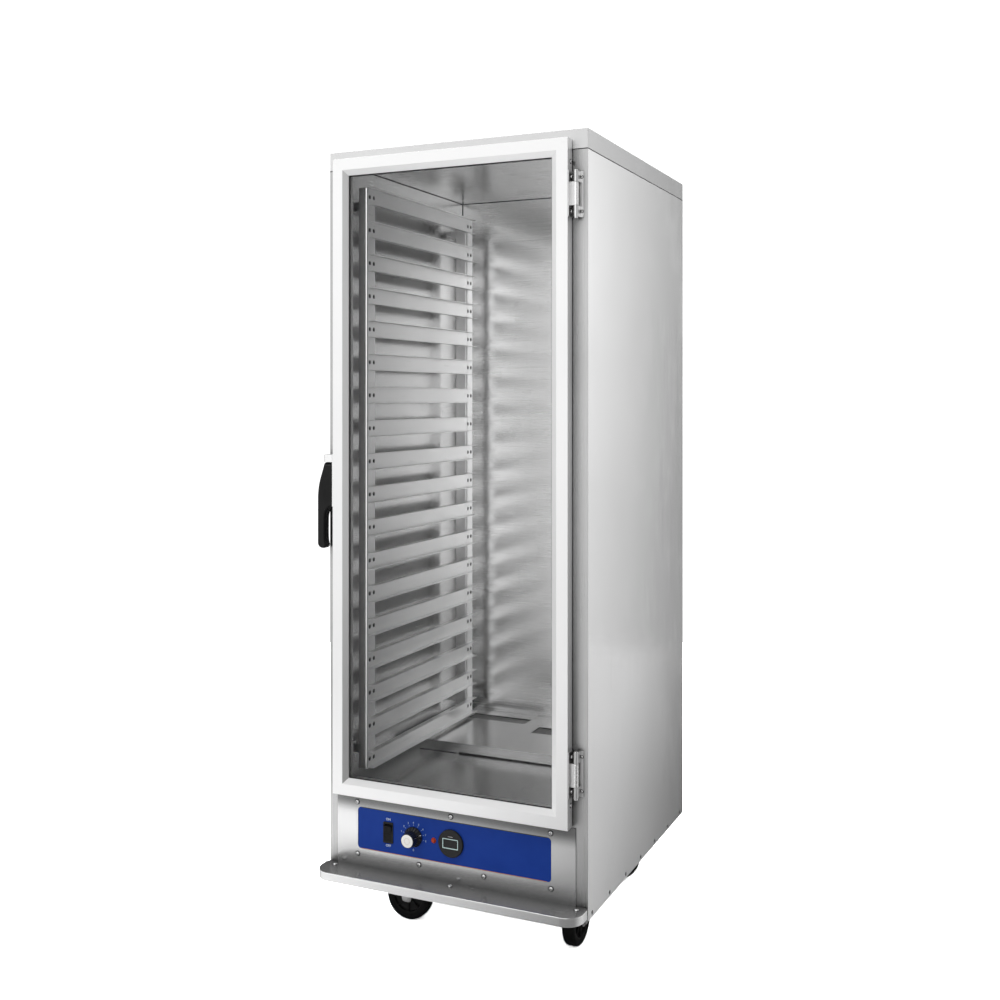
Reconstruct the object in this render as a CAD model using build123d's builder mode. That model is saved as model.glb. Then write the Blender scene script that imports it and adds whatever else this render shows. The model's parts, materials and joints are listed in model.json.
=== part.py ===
from build123d import *
import math
import os

# Heated food holding cabinet: an insulated stainless box on four swivel casters, with a
# glazed door hinged on the right, pan slides inside, and a blower heater under the floor.
# Frame: +Z up, the door faces -Y, origin at the bottom centre of the whole object's box.
# All sizes are in millimetres.

os.makedirs("parts", exist_ok=True)

# ---- driving dimensions ------------------------------------------------------------
BODY_WIDTH = 631.0
BODY_DEPTH = 721.5
BODY_HEIGHT = 1655.0
CASTER_HEIGHT = 140.0
HANDLE_REACH = 17.0  # how far the latch lever stands out past the left side
BUMPER_REACH = 3.0  # how far the bumper stands out past each side
BUMPER_DEPTH = 70.0
INLET_REACH = 14.0  # how far the power inlet stands out of the back
SHEET = 1.2
POST_SHEET = 1.5
PAN_SHEET = 2.5
WALL = 25.0  # outside of a side panel to the cavity
BACK_WALL = 81.5  # outside of the back panel to the cavity
CEILING = 24.0  # top of the cabinet to the cavity's ceiling
CAP_HEIGHT = 41.5
SEAM = 1.2
FLOOR_HEIGHT = 206.0  # cavity floor above the bottom of the body
SLIDE_COUNT = 18
SLIDE_PITCH = 76.2
SLIDE_WEB_GAP = 470.0
CLEARANCE = 0.3
RUNNING = 0.05  # radial clearance of a shaft that turns in a bore

# ---- faces of the body -------------------------------------------------------------
X_LEFT = (HANDLE_REACH - BODY_WIDTH - BUMPER_REACH) / 2
X_RIGHT = X_LEFT + BODY_WIDTH
Y_FRONT = (BUMPER_DEPTH - BODY_DEPTH - INLET_REACH) / 2
Y_BACK = Y_FRONT + BODY_DEPTH
Z_BASE = CASTER_HEIGHT
Z_TOP = Z_BASE + BODY_HEIGHT
X_MID = (X_LEFT + X_RIGHT) / 2
Z_SEAM = Z_TOP - CAP_HEIGHT

# ---- cavity and door opening -------------------------------------------------------
CAVITY_LEFT = X_LEFT + WALL
CAVITY_RIGHT = X_RIGHT - WALL
CAVITY_FRONT = Y_FRONT + 21.0
CAVITY_BACK = Y_BACK - BACK_WALL
CAVITY_FLOOR = Z_BASE + FLOOR_HEIGHT
CAVITY_TOP = Z_TOP - CEILING
OPENING_LEFT = X_LEFT + 42.0
OPENING_RIGHT = X_RIGHT - 50.0
OPENING_TOP = Z_BASE + 1602.0
SILL_BOTTOM = Z_BASE + 176.0
SLAB_BOTTOM = Z_BASE + 180.0

# ---- fasteners ---------------------------------------------------------------------
SCREW_SHANK = 2.2
SCREW_HOLE = 2.4
SCREW_HEAD = 4.5
SCREW_HEAD_HEIGHT = 2.2
RIVET_SHANK = 1.8
RIVET_HOLE = 2.0
RIVET_HEAD = 3.4
RIVET_HEAD_HEIGHT = 1.3

# ---- door --------------------------------------------------------------------------
DOOR_LEFT = X_LEFT + 25.4
DOOR_RIGHT = X_LEFT + 597.0
DOOR_BOTTOM = Z_BASE + 193.5
DOOR_TOP = Z_BASE + 1633.3
DOOR_FACE = Y_FRONT - 29.2
DOOR_REAR = Y_FRONT - 3.0
RAIL_FLAT = 25.5
RAIL_WIDTH = 38.0
RAIL_WALL = 2.0
BEVEL_DROP = 7.0
GLASS_FRONT = Y_FRONT - 18.0
GLASS_THICK = 5.0
GLASS_COVER = 8.0  # how far the rails hold the glass

# ---- hinges ------------------------------------------------------------------------
HINGE_X = X_LEFT + 610.0
HINGE_Y = Y_FRONT - 15.0
HINGE_LENGTH = 96.0
HINGE_KNUCKLE = 23.0
HINGE_RADIUS = 5.25
HINGE_PIN_RADIUS = 2.6
HINGE_LEAF = 2.0
HINGE_CENTRES = (Z_BASE + 307.0, Z_BASE + 1517.0)

# ---- latch -------------------------------------------------------------------------
LATCH_PIVOT_Y = Y_FRONT - 16.0
LATCH_PIVOT_Z = Z_BASE + 932.0
LATCH_TOP = Z_BASE + 963.0
LATCH_PLATE = 2.5
LATCH_PIN_RADIUS = 2.5
LEVER_FRONT = Y_FRONT - 29.0
LEVER_BACK = Y_FRONT - 9.0
LEVER_TOP = LATCH_PIVOT_Z + 13.0
LEVER_LOW = Z_BASE + 749.0
BOLT_X = X_LEFT + 15.0
CAM_REACH = 10.3  # lever pivot to the middle of the bolt

# ---- control panel -----------------------------------------------------------------
PANEL_LEFT = X_LEFT + 21.0
PANEL_RIGHT = X_LEFT + 605.0
PANEL_BOTTOM = Z_BASE + 4.0
PANEL_TOP = Z_BASE + 191.0
PANEL_FACE = Y_FRONT - 1.5
LABEL_THICK = 0.4
LABEL_FACE = PANEL_FACE - LABEL_THICK
CONTROL_Z = Z_BASE + 115.0
SWITCH_X = X_LEFT + 155.0
KNOB_X = X_LEFT + 219.0
LAMP_X = X_LEFT + 270.0
GAUGE_X = X_LEFT + 313.0

# ---- rack --------------------------------------------------------------------------
WEB_LEFT = X_MID - SLIDE_WEB_GAP / 2
WEB_RIGHT = X_MID + SLIDE_WEB_GAP / 2
SLIDE_HEIGHT = 38.0
SLIDE_LIP = 15.0
SLIDE_SHEET = 1.0
SLIDE_FRONT = Y_FRONT + 34.0
SLIDE_REAR = Y_FRONT + 584.0
SLIDE_TOP_Z = Z_TOP - 99.7
RACK_POST_FRONT = Y_FRONT + 30.0
RACK_POST_REAR = Y_FRONT + 550.0
RACK_POST_FACE = 36.0
RACK_POST_BOTTOM = Z_BASE + 239.0
RACK_POST_TOP = Z_BASE + 1576.0
RACK_RIVET_YS = (Y_FRONT + 41.0, Y_FRONT + 59.0, Y_FRONT + 556.5, Y_FRONT + 574.5)
BRACKET_HEIGHTS = (Z_BASE + 278.0, Z_BASE + 1536.0)

# ---- heater and blower -------------------------------------------------------------
COVER_FRONT = Y_FRONT + 323.0
COVER_REAR = Y_FRONT + 620.0
COVER_LEFT = X_LEFT + 60.0
COVER_RIGHT = X_RIGHT - 60.0
COVER_TOP = CAVITY_FLOOR + 26.0
FAN_X = X_LEFT + 375.0
FAN_Y = Y_FRONT + 511.0
FAN_RADIUS = 50.0
FAN_SHAFT_RADIUS = 4.0
MOTOR_RADIUS = 38.0
MOTOR_TOP = SLAB_BOTTOM - 18.0
ELEMENT_RADIUS = 4.0
ELEMENT_Z = CAVITY_FLOOR + 13.0
ELEMENT_LEFT = X_LEFT + 130.0
ELEMENT_RIGHT = X_LEFT + 510.0
ELEMENT_FRONT = Y_FRONT + 365.0
ELEMENT_REAR = Y_FRONT + 425.0

# ---- back of the cabinet -----------------------------------------------------------
VENT_X = X_MID
VENT_Z = Z_BASE + 95.0
VENT_WIDTH = 160.0
VENT_HEIGHT = 100.0
INLET_X = X_LEFT + 545.0
INLET_Z = Z_BASE + 80.0
INLET_RADIUS = 21.0

# ---- casters -----------------------------------------------------------------------
WHEEL_RADIUS = 57.0
TREAD_WIDTH = 30.0
HUB_WIDTH = 34.0
AXLE_RADIUS = 5.0
TRAIL = 35.0
KINGPIN_RADIUS = 6.0
CASTER_INSET_X = 95.0
CASTER_INSET_Y = 147.0
PLATE_THICK = 3.0
PLATE_BOLT_RADIUS = 4.0
RACE_RADIUS = 26.0
RACE_LOW = Z_BASE - 9.5
CROWN_LOW = Z_BASE - 21.0
CROWN_HIGH = Z_BASE - 17.0
FORK_SHEET = 3.0
FORK_INNER = HUB_WIDTH / 2 + 0.6
# name, swivel axis x and y, and the heading that the wheel trails towards, in degrees
CASTERS = (
    ("front_left", X_LEFT + CASTER_INSET_X, Y_FRONT + CASTER_INSET_Y, 0.0),
    ("front_right", X_RIGHT - CASTER_INSET_X, Y_FRONT + CASTER_INSET_Y, 90.0),
    ("rear_left", X_LEFT + CASTER_INSET_X, Y_BACK - CASTER_INSET_Y, 0.0),
    ("rear_right", X_RIGHT - CASTER_INSET_X, Y_BACK - CASTER_INSET_Y, 180.0),
)

# ---- helpers -----------------------------------------------------------------------
TURNS = {
    "+x": (0, 90, 0),
    "-x": (0, -90, 0),
    "+y": (-90, 0, 0),
    "-y": (90, 0, 0),
    "+z": (0, 0, 0),
    "-z": (180, 0, 0),
}
FROM_BASE = (Align.CENTER, Align.CENTER, Align.MIN)


def span(start, end):
    """The range between two values, low end first."""
    return (min(start, end), max(start, end))


def block(x, y, z, mode=Mode.ADD):
    """Add or cut a block that spans the ranges x, y and z."""
    with Locations(((x[0] + x[1]) / 2, (y[0] + y[1]) / 2, (z[0] + z[1]) / 2)):
        Box(x[1] - x[0], y[1] - y[0], z[1] - z[0], mode=mode)


def blocks(size, centres, mode=Mode.ADD):
    """Add or cut equal blocks round the given centres."""
    with Locations(*centres):
        Box(*size, mode=mode)


def rods(radius, length, direction, starts, mode=Mode.ADD):
    """Add or cut equal round rods that run from each start point in one direction."""
    with Locations(*[Location(start, TURNS[direction]) for start in starts]):
        Cylinder(radius, length, align=FROM_BASE, mode=mode)


def domes(radius, height, direction, starts):
    """Add equal fastener heads that stand on the given points."""
    with Locations(*[Location(start, TURNS[direction]) for start in starts]):
        Cone(radius, radius * 0.62, height, align=FROM_BASE)


def screws(direction, opposite, length, starts):
    """Add pan-head screws: heads on the given points, shanks the opposite way."""
    domes(SCREW_HEAD, SCREW_HEAD_HEIGHT, direction, starts)
    rods(SCREW_SHANK, length, opposite, starts)


def save(shape, label):
    """Name a finished piece and write it to its own file."""
    shape.label = label
    export_step(shape, f"parts/{label}.step")


def sheet(label, x, y, z):
    """A plain rectangular sheet or pane, written as one piece."""
    with BuildPart() as panel:
        block(x, y, z)
    save(panel.part, label)


def corners(x, y, dx, dy, z):
    """Four points round (x, y) at the height z."""
    return [(x + side * dx, y + end * dy, z) for side in (-1, 1) for end in (-1, 1)]


# ---- body shell --------------------------------------------------------------------
SIDE_RIVETS = [(Y_FRONT + 27.0 + 111.0 * i, Z_BASE + 9.5) for i in range(7)]
PAN_FLANGE = 2.0

with BuildPart() as base_pan:
    pan_x = (X_LEFT + SHEET, X_RIGHT - SHEET)
    pan_y = (Y_FRONT, Y_BACK - SHEET)
    pan_z = (Z_BASE, Z_BASE + PAN_SHEET)
    flange_z = (Z_BASE + PAN_SHEET, Z_BASE + 22.0)
    block(pan_x, pan_y, pan_z)
    block((pan_x[0], pan_x[0] + PAN_FLANGE), (Y_FRONT + 2, pan_y[1]), flange_z)
    block((pan_x[1] - PAN_FLANGE, pan_x[1]), (Y_FRONT + 2, pan_y[1]), flange_z)
    block((pan_x[0] + PAN_FLANGE, pan_x[1] - PAN_FLANGE), (pan_y[1] - PAN_FLANGE, pan_y[1]), flange_z)
    rods(RIVET_HOLE, BODY_WIDTH, "+x", [(X_LEFT, y, z) for y, z in SIDE_RIVETS], Mode.SUBTRACT)
    for name, x, y, heading in CASTERS:
        hole = PLATE_BOLT_RADIUS + CLEARANCE
        rods(hole, 4 * PAN_SHEET, "+z", corners(x, y, 38, 30, Z_BASE - 1), Mode.SUBTRACT)
save(base_pan.part, "base_pan")


def side_panel(label, x):
    """One outer side, riveted to the base pan along its lower edge."""
    with BuildPart() as side:
        block(x, (Y_FRONT + POST_SHEET, Y_BACK), (Z_BASE, Z_SEAM - SEAM))
        rods(RIVET_HOLE, 4, "+x", [(x[0] - 1, y, z) for y, z in SIDE_RIVETS], Mode.SUBTRACT)
    save(side.part, label)


side_panel("side_panel_left", (X_LEFT, X_LEFT + SHEET))
side_panel("side_panel_right", (X_RIGHT - SHEET, X_RIGHT))

with BuildPart() as back_panel:
    block((X_LEFT + SHEET, X_RIGHT - SHEET), (Y_BACK - SHEET, Y_BACK), (Z_BASE, Z_SEAM - SEAM))
    blocks((VENT_WIDTH, 10, VENT_HEIGHT), [(VENT_X, Y_BACK, VENT_Z)], Mode.SUBTRACT)
    rods(INLET_RADIUS + CLEARANCE, 10, "+y", [(INLET_X, Y_BACK - 5, INLET_Z)], Mode.SUBTRACT)
save(back_panel.part, "back_panel")

with BuildPart() as top_cover:
    block((X_LEFT, X_RIGHT), (Y_FRONT, Y_BACK), (Z_SEAM, Z_TOP))
    fillet(top_cover.edges().filter_by(Axis.Z), 1.0)
    block(
        (X_LEFT + SHEET, X_RIGHT - SHEET),
        (Y_FRONT + SHEET, Y_BACK - SHEET),
        (Z_SEAM - 1, Z_TOP - SHEET),
        Mode.SUBTRACT,
    )
save(top_cover.part, "top_cover")


def front_post(label, edge, opening, cavity):
    """One door post: face, return along the opening and rear flange, in one bent strip."""
    inner = opening - math.copysign(POST_SHEET, opening - edge)
    with BuildPart() as post:
        with BuildSketch(Plane.XY.offset(Z_BASE + PAN_SHEET)):
            with BuildLine():
                Polyline(
                    (edge, Y_FRONT),
                    (opening, Y_FRONT),
                    (opening, CAVITY_FRONT),
                    (cavity, CAVITY_FRONT),
                    (cavity, CAVITY_FRONT - POST_SHEET),
                    (inner, CAVITY_FRONT - POST_SHEET),
                    (inner, Y_FRONT + POST_SHEET),
                    (edge, Y_FRONT + POST_SHEET),
                    close=True,
                )
            make_face()
        extrude(amount=Z_SEAM - SEAM - Z_BASE - PAN_SHEET)
    save(post.part, label)


front_post("front_post_left", X_LEFT, OPENING_LEFT, CAVITY_LEFT)
front_post("front_post_right", X_RIGHT, OPENING_RIGHT, CAVITY_RIGHT)

OPENING_X = (OPENING_LEFT, OPENING_RIGHT)
FACE_Y = (Y_FRONT, Y_FRONT + POST_SHEET)
RETURN_Y = (Y_FRONT + POST_SHEET, CAVITY_FRONT)

with BuildPart() as front_header:
    block(OPENING_X, FACE_Y, (OPENING_TOP, Z_SEAM - SEAM))
    block(OPENING_X, RETURN_Y, (OPENING_TOP, OPENING_TOP + POST_SHEET))
    block(OPENING_X, (CAVITY_FRONT - POST_SHEET, CAVITY_FRONT), (OPENING_TOP, CAVITY_TOP))
save(front_header.part, "front_header")

with BuildPart() as front_sill:
    block(OPENING_X, FACE_Y, (SILL_BOTTOM, CAVITY_FLOOR))
    block(OPENING_X, RETURN_Y, (CAVITY_FLOOR - POST_SHEET, CAVITY_FLOOR))
save(front_sill.part, "front_sill")

# ---- liner and insulation ----------------------------------------------------------
LINER_X = (CAVITY_LEFT - SHEET, CAVITY_RIGHT + SHEET)
LINER_Y = (CAVITY_FRONT, CAVITY_BACK + SHEET)
CAVITY_Y = (CAVITY_FRONT, CAVITY_BACK)
CAVITY_Z = (CAVITY_FLOOR, CAVITY_TOP)
SLAB_GAP = 0.2

sheet("liner_left", (LINER_X[0], CAVITY_LEFT), CAVITY_Y, CAVITY_Z)
sheet("liner_right", (CAVITY_RIGHT, LINER_X[1]), CAVITY_Y, CAVITY_Z)
sheet("liner_back", LINER_X, (CAVITY_BACK, CAVITY_BACK + SHEET), CAVITY_Z)
sheet("liner_ceiling", LINER_X, LINER_Y, (CAVITY_TOP, CAVITY_TOP + SHEET))


def floor_holes():
    """Cut the holes for the blower's shaft and the heating element's two legs."""
    low = SLAB_BOTTOM - 5
    depth = CAVITY_FLOOR + 5 - low
    legs = [(ELEMENT_LEFT, y, low) for y in (ELEMENT_FRONT, ELEMENT_REAR)]
    rods(3 * FAN_SHAFT_RADIUS, depth, "+z", [(FAN_X, FAN_Y, low)], Mode.SUBTRACT)
    rods(ELEMENT_RADIUS + 1, depth, "+z", legs, Mode.SUBTRACT)


with BuildPart() as liner_floor:
    block(LINER_X, LINER_Y, (CAVITY_FLOOR - SHEET, CAVITY_FLOOR))
    floor_holes()
save(liner_floor.part, "liner_floor")

with BuildPart() as insulation_slabs:
    outer_x = (X_LEFT + SHEET + SLAB_GAP, X_RIGHT - SHEET - SLAB_GAP)
    slab_y = (CAVITY_FRONT + SLAB_GAP, Y_BACK - SHEET - SLAB_GAP)
    slab_z = (SLAB_BOTTOM, CAVITY_TOP + SHEET)
    block((outer_x[0], LINER_X[0] - SLAB_GAP), slab_y, slab_z)
    block((LINER_X[1] + SLAB_GAP, outer_x[1]), slab_y, slab_z)
    block(LINER_X, (LINER_Y[1] + SLAB_GAP, slab_y[1]), slab_z)
    block(outer_x, slab_y, (slab_z[1] + SLAB_GAP, Z_TOP - SHEET - SLAB_GAP))
    block(LINER_X, (slab_y[0], CAVITY_BACK), (SLAB_BOTTOM, CAVITY_FLOOR - SHEET - SLAB_GAP))
    floor_holes()
save(insulation_slabs.part, "insulation_slabs")

# ---- control panel and its controls ------------------------------------------------
PANEL_SCREWS = [(X_LEFT + x, PANEL_FACE, Z_BASE + 173.0) for x in (74.0, 312.0, 548.0)]
PANEL_SCREWS += [(X_LEFT + x, PANEL_FACE, Z_BASE + 55.5) for x in (75.0, 233.0, 392.0, 549.0)]
SWITCH_WIDTH = 22.0
SWITCH_HEIGHT = 43.0
BEZEL_THICK = 2.0
GAUGE_RADIUS = 30.5
LAMP_RADIUS = 5.2


def control_holes():
    """Cut the openings that the switch, thermostat, lamp and thermometer pass through."""
    blocks((SWITCH_WIDTH, 12, SWITCH_HEIGHT), [(SWITCH_X, Y_FRONT, CONTROL_Z)], Mode.SUBTRACT)
    for x, radius in ((KNOB_X, 6.0), (LAMP_X, LAMP_RADIUS), (GAUGE_X, GAUGE_RADIUS - 2.5)):
        rods(radius, 12, "+y", [(x, Y_FRONT - 6, CONTROL_Z)], Mode.SUBTRACT)


with BuildPart() as control_panel:
    block((PANEL_LEFT, PANEL_RIGHT), (PANEL_FACE, Y_FRONT), (PANEL_BOTTOM, PANEL_TOP))
    fillet(control_panel.edges().filter_by(Axis.Z).group_by(Axis.Y)[0], 1.0)
    control_holes()
    rods(SCREW_HOLE, 6, "+y", [(x, y - 2, z) for x, y, z in PANEL_SCREWS], Mode.SUBTRACT)
save(control_panel.part, "control_panel")

with BuildPart() as control_label:
    with BuildSketch(Plane.XZ.offset(-PANEL_FACE)):
        with Locations((X_LEFT + 312.5, Z_BASE + 115.75)):
            RectangleRounded(473.0, 93.5, 8.0)
    extrude(amount=LABEL_THICK)
    control_holes()
save(control_label.part, "control_label")

ROCKER_Y = Y_FRONT + 4.0
ROCKER_TILT = 9.0
ROCKER_HALF_WIDTH = 9.2
TRUNNION_RADIUS = 1.5

with BuildPart() as switch_housing:
    with BuildSketch(Plane.XZ.offset(-LABEL_FACE)):
        with Locations((SWITCH_X, CONTROL_Z)):
            RectangleRounded(SWITCH_WIDTH + 3, SWITCH_HEIGHT + 4, 2.0)
    extrude(amount=BEZEL_THICK)
    can = (SWITCH_WIDTH - 2 * CLEARANCE, Y_FRONT + 26 - LABEL_FACE, SWITCH_HEIGHT - 2 * CLEARANCE)
    blocks(can, [(SWITCH_X, (LABEL_FACE + Y_FRONT + 26) / 2, CONTROL_Z)])
    block(
        (SWITCH_X - 9.5, SWITCH_X + 9.5),
        (LABEL_FACE - BEZEL_THICK - 1, Y_FRONT + 14),
        (CONTROL_Z - 19.6, CONTROL_Z + 19.6),
        Mode.SUBTRACT,
    )
    trunnion_hole = TRUNNION_RADIUS + RUNNING
    rods(trunnion_hole, 20.6, "+x", [(SWITCH_X - 10.3, ROCKER_Y, CONTROL_Z)], Mode.SUBTRACT)
    blocks((0.8, 8, 6), [(SWITCH_X + x, Y_FRONT + 30, CONTROL_Z) for x in (-6, 6)])
save(switch_housing.part, "switch_housing")

with BuildPart() as power_rocker:
    tilt = math.radians(ROCKER_TILT)
    rocker_plane = Plane(
        origin=(SWITCH_X - ROCKER_HALF_WIDTH, ROCKER_Y, CONTROL_Z),
        x_dir=(0, math.cos(tilt), math.sin(tilt)),
        z_dir=(1, 0, 0),
    )
    with BuildSketch(rocker_plane):
        with BuildLine():
            Polyline(
                (-7.1, 0),
                (-10.5, 18.0),
                (-2.0, 18.4),
                (5.0, 4.0),
                (5.0, -4.0),
                (-2.0, -18.4),
                (-10.5, -18.0),
                close=True,
            )
        make_face()
    extrude(amount=2 * ROCKER_HALF_WIDTH)
    rods(TRUNNION_RADIUS, 20.4, "+x", [(SWITCH_X - 10.2, ROCKER_Y, CONTROL_Z)])
save(power_rocker.part, "power_rocker")

THERMOSTAT_SHAFT = 3.0

with BuildPart() as thermostat:
    blocks((36, 30, 36), [(KNOB_X, Y_FRONT + 18, CONTROL_Z)])
    rods(9.0, 3, "+y", [(KNOB_X, Y_FRONT, CONTROL_Z)])
    rods(5.7, 7, "+y", [(KNOB_X, LABEL_FACE - 2.5, CONTROL_Z)])
    rods(THERMOSTAT_SHAFT, 18, "+y", [(KNOB_X, LABEL_FACE - 18, CONTROL_Z)])
save(thermostat.part, "thermostat")

SKIRT_RADIUS = 22.5
KNOB_RADIUS = 15.5
KNOB_REAR = LABEL_FACE - 1.0
KNOB_FRONT = LABEL_FACE - 30.0
POINTER_ANGLE = 70.0  # heading of the pointer rib, clockwise from the top

with BuildPart() as thermostat_knob:
    with BuildSketch(Plane.XY.offset(CONTROL_Z)):
        with BuildLine():
            Polyline(
                (KNOB_X, KNOB_REAR),
                (KNOB_X + SKIRT_RADIUS, KNOB_REAR),
                (KNOB_X + SKIRT_RADIUS, KNOB_REAR - 3.0),
                (KNOB_X + KNOB_RADIUS + 2.5, KNOB_REAR - 8.0),
                (KNOB_X + KNOB_RADIUS, KNOB_FRONT + 1.5),
                (KNOB_X + KNOB_RADIUS - 1.5, KNOB_FRONT),
                (KNOB_X, KNOB_FRONT),
                close=True,
            )
        make_face()
    revolve(axis=Axis((KNOB_X, 0, CONTROL_Z), (0, 1, 0)))
    bore = THERMOSTAT_SHAFT + RUNNING
    rods(bore, 20, "+y", [(KNOB_X, LABEL_FACE - 19, CONTROL_Z)], Mode.SUBTRACT)
    rods(6.5, 5, "+y", [(KNOB_X, LABEL_FACE - 4, CONTROL_Z)], Mode.SUBTRACT)
    with Locations(Location((KNOB_X, KNOB_REAR - 2.8, CONTROL_Z), (0, POINTER_ANGLE, 0))):
        with Locations((0, 0, (SKIRT_RADIUS + KNOB_RADIUS + 1.5) / 2)):
            Box(1.8, 1.6, SKIRT_RADIUS - KNOB_RADIUS - 1.5)
save(thermostat_knob.part, "thermostat_knob")

with BuildPart() as indicator_lamp:
    rods(LAMP_RADIUS - CLEARANCE, 20, "+y", [(LAMP_X, LABEL_FACE, CONTROL_Z)])
    rods(LAMP_RADIUS + 0.8, 1.5, "-y", [(LAMP_X, LABEL_FACE, CONTROL_Z)])
    domes(LAMP_RADIUS, 3.5, "-y", [(LAMP_X, LABEL_FACE - 1.5, CONTROL_Z)])
save(indicator_lamp.part, "indicator_lamp")

with BuildPart() as thermometer:
    rods(GAUGE_RADIUS, 4.5, "-y", [(GAUGE_X, LABEL_FACE, CONTROL_Z)])
    fillet(thermometer.edges().group_by(Axis.Y)[0], 2.5)
    rods(GAUGE_RADIUS - 2.8, 24, "+y", [(GAUGE_X, LABEL_FACE, CONTROL_Z)])
    blocks((36, 2.4, 20), [(GAUGE_X, LABEL_FACE - 4.5, CONTROL_Z)], Mode.SUBTRACT)
save(thermometer.part, "thermometer")

# ---- bumper ------------------------------------------------------------------------
BUMPER_TOP = Z_BASE + 30.0
BUMPER_LOW = Z_BASE + 11.0
BUMPER_CORNER = 40.0
BUMPER_REAR_CORNER = 13.0
BUMPER_SHEET = 1.5
BUMPER_SCREWS = [(X_LEFT + x, Y_FRONT - 22.0, BUMPER_TOP) for x in (27.0, 320.0, 614.0)]


def draw_bumper(inset):
    """Draw the bumper's plan, inwards by inset: round front corners, small rear ones."""
    left = X_LEFT - BUMPER_REACH + inset
    right = X_RIGHT + BUMPER_REACH - inset
    front = Y_FRONT - BUMPER_DEPTH + inset
    rear = PANEL_FACE - inset
    small = BUMPER_REAR_CORNER - inset
    large = BUMPER_CORNER - inset
    points = [(left, rear), (left, front), (right, front), (right, rear)]
    FilletPolyline(*points, radius=[small, large, large, small], close=True)


with BuildPart() as bumper:
    with BuildSketch(Plane.XY.offset(BUMPER_LOW)):
        with BuildLine():
            draw_bumper(0)
        make_face()
    extrude(amount=BUMPER_TOP - BUMPER_LOW)
    fillet(bumper.faces().sort_by(Axis.Z)[-1].edges(), 1.2)
    with BuildSketch(Plane.XY.offset(BUMPER_LOW)):
        with BuildLine():
            draw_bumper(BUMPER_SHEET)
        make_face()
    extrude(amount=BUMPER_TOP - BUMPER_LOW - BUMPER_SHEET, mode=Mode.SUBTRACT)
    rods(SCREW_HOLE, 4, "+z", [(x, y, z - 3) for x, y, z in BUMPER_SCREWS], Mode.SUBTRACT)
save(bumper.part, "bumper")

# ---- pan rack ----------------------------------------------------------------------
SLIDE_ZS = [SLIDE_TOP_Z - SLIDE_PITCH * i for i in range(SLIDE_COUNT)]
RACK_SIDES = ((WEB_LEFT, CAVITY_LEFT, 1), (WEB_RIGHT, CAVITY_RIGHT, -1))
BRACKET_HALF = 10.0
BRACKET_SHEET = 2.0


def rack_holes(web):
    """Cut the rivet holes across one side of the rack."""
    starts = [(web - 3, y, z) for y in RACK_RIVET_YS for z in SLIDE_ZS]
    rods(RIVET_HOLE, 6, "+x", starts, Mode.SUBTRACT)


with BuildPart() as rack_posts:
    for web, wall, inward in RACK_SIDES:
        for front, leg in ((RACK_POST_FRONT, 22.0), (RACK_POST_REAR, 31.0)):
            post_z = (RACK_POST_BOTTOM, RACK_POST_TOP)
            block(span(web, web - inward * SHEET), (front, front + RACK_POST_FACE), post_z)
            block(span(web, web - inward * leg), (front, front + SHEET), post_z)
        rack_holes(web)
save(rack_posts.part, "rack_posts")

with BuildPart() as pan_slides:
    length = SLIDE_REAR - SLIDE_FRONT
    middle = (SLIDE_FRONT + SLIDE_REAR) / 2
    rise = (SLIDE_HEIGHT - SLIDE_SHEET) / 2
    for web, wall, inward in RACK_SIDES:
        web_x = web + inward * SLIDE_SHEET / 2
        lip_x = web + inward * SLIDE_LIP / 2
        blocks((SLIDE_SHEET, length, SLIDE_HEIGHT), [(web_x, middle, z) for z in SLIDE_ZS])
        lips = [(lip_x, middle, z + end * rise) for z in SLIDE_ZS for end in (-1, 1)]
        blocks((SLIDE_LIP, length, SLIDE_SHEET), lips)
        rack_holes(web)
save(pan_slides.part, "pan_slides")

with BuildPart() as rack_brackets:
    for web, wall, inward in RACK_SIDES:
        back = web - inward * SHEET
        for front in (RACK_POST_FRONT + 18, RACK_POST_REAR + 18):
            for z in BRACKET_HEIGHTS:
                height = (z - BRACKET_HALF, z + BRACKET_HALF)
                block(span(wall, wall + inward * BRACKET_SHEET), (front, front + 22), height)
                block(span(wall, back), (front, front + BRACKET_SHEET), height)
                block(span(back, back - inward * BRACKET_SHEET), (front, front + 12), height)
        holes = [(wall - 3, y + 30, z) for y in (RACK_POST_FRONT, RACK_POST_REAR) for z in BRACKET_HEIGHTS]
        rods(SCREW_HOLE, 6, "+x", holes, Mode.SUBTRACT)
save(rack_brackets.part, "rack_brackets")

with BuildPart() as rivets:
    left_side = [(X_LEFT, y, z) for y, z in SIDE_RIVETS]
    right_side = [(X_RIGHT, y, z) for y, z in SIDE_RIVETS]
    domes(RIVET_HEAD, RIVET_HEAD_HEIGHT, "-x", left_side)
    rods(RIVET_SHANK, 6, "+x", left_side)
    domes(RIVET_HEAD, RIVET_HEAD_HEIGHT, "+x", right_side)
    rods(RIVET_SHANK, 6, "-x", right_side)
    rack_left = [(WEB_LEFT + SLIDE_SHEET, y, z) for y in RACK_RIVET_YS for z in SLIDE_ZS]
    rack_right = [(WEB_RIGHT - SLIDE_SHEET, y, z) for y in RACK_RIVET_YS for z in SLIDE_ZS]
    domes(RIVET_HEAD, RIVET_HEAD_HEIGHT, "+x", rack_left)
    rods(RIVET_SHANK, 4, "-x", rack_left)
    domes(RIVET_HEAD, RIVET_HEAD_HEIGHT, "-x", rack_right)
    rods(RIVET_SHANK, 4, "+x", rack_right)
save(rivets.part, "rivets")

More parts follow.
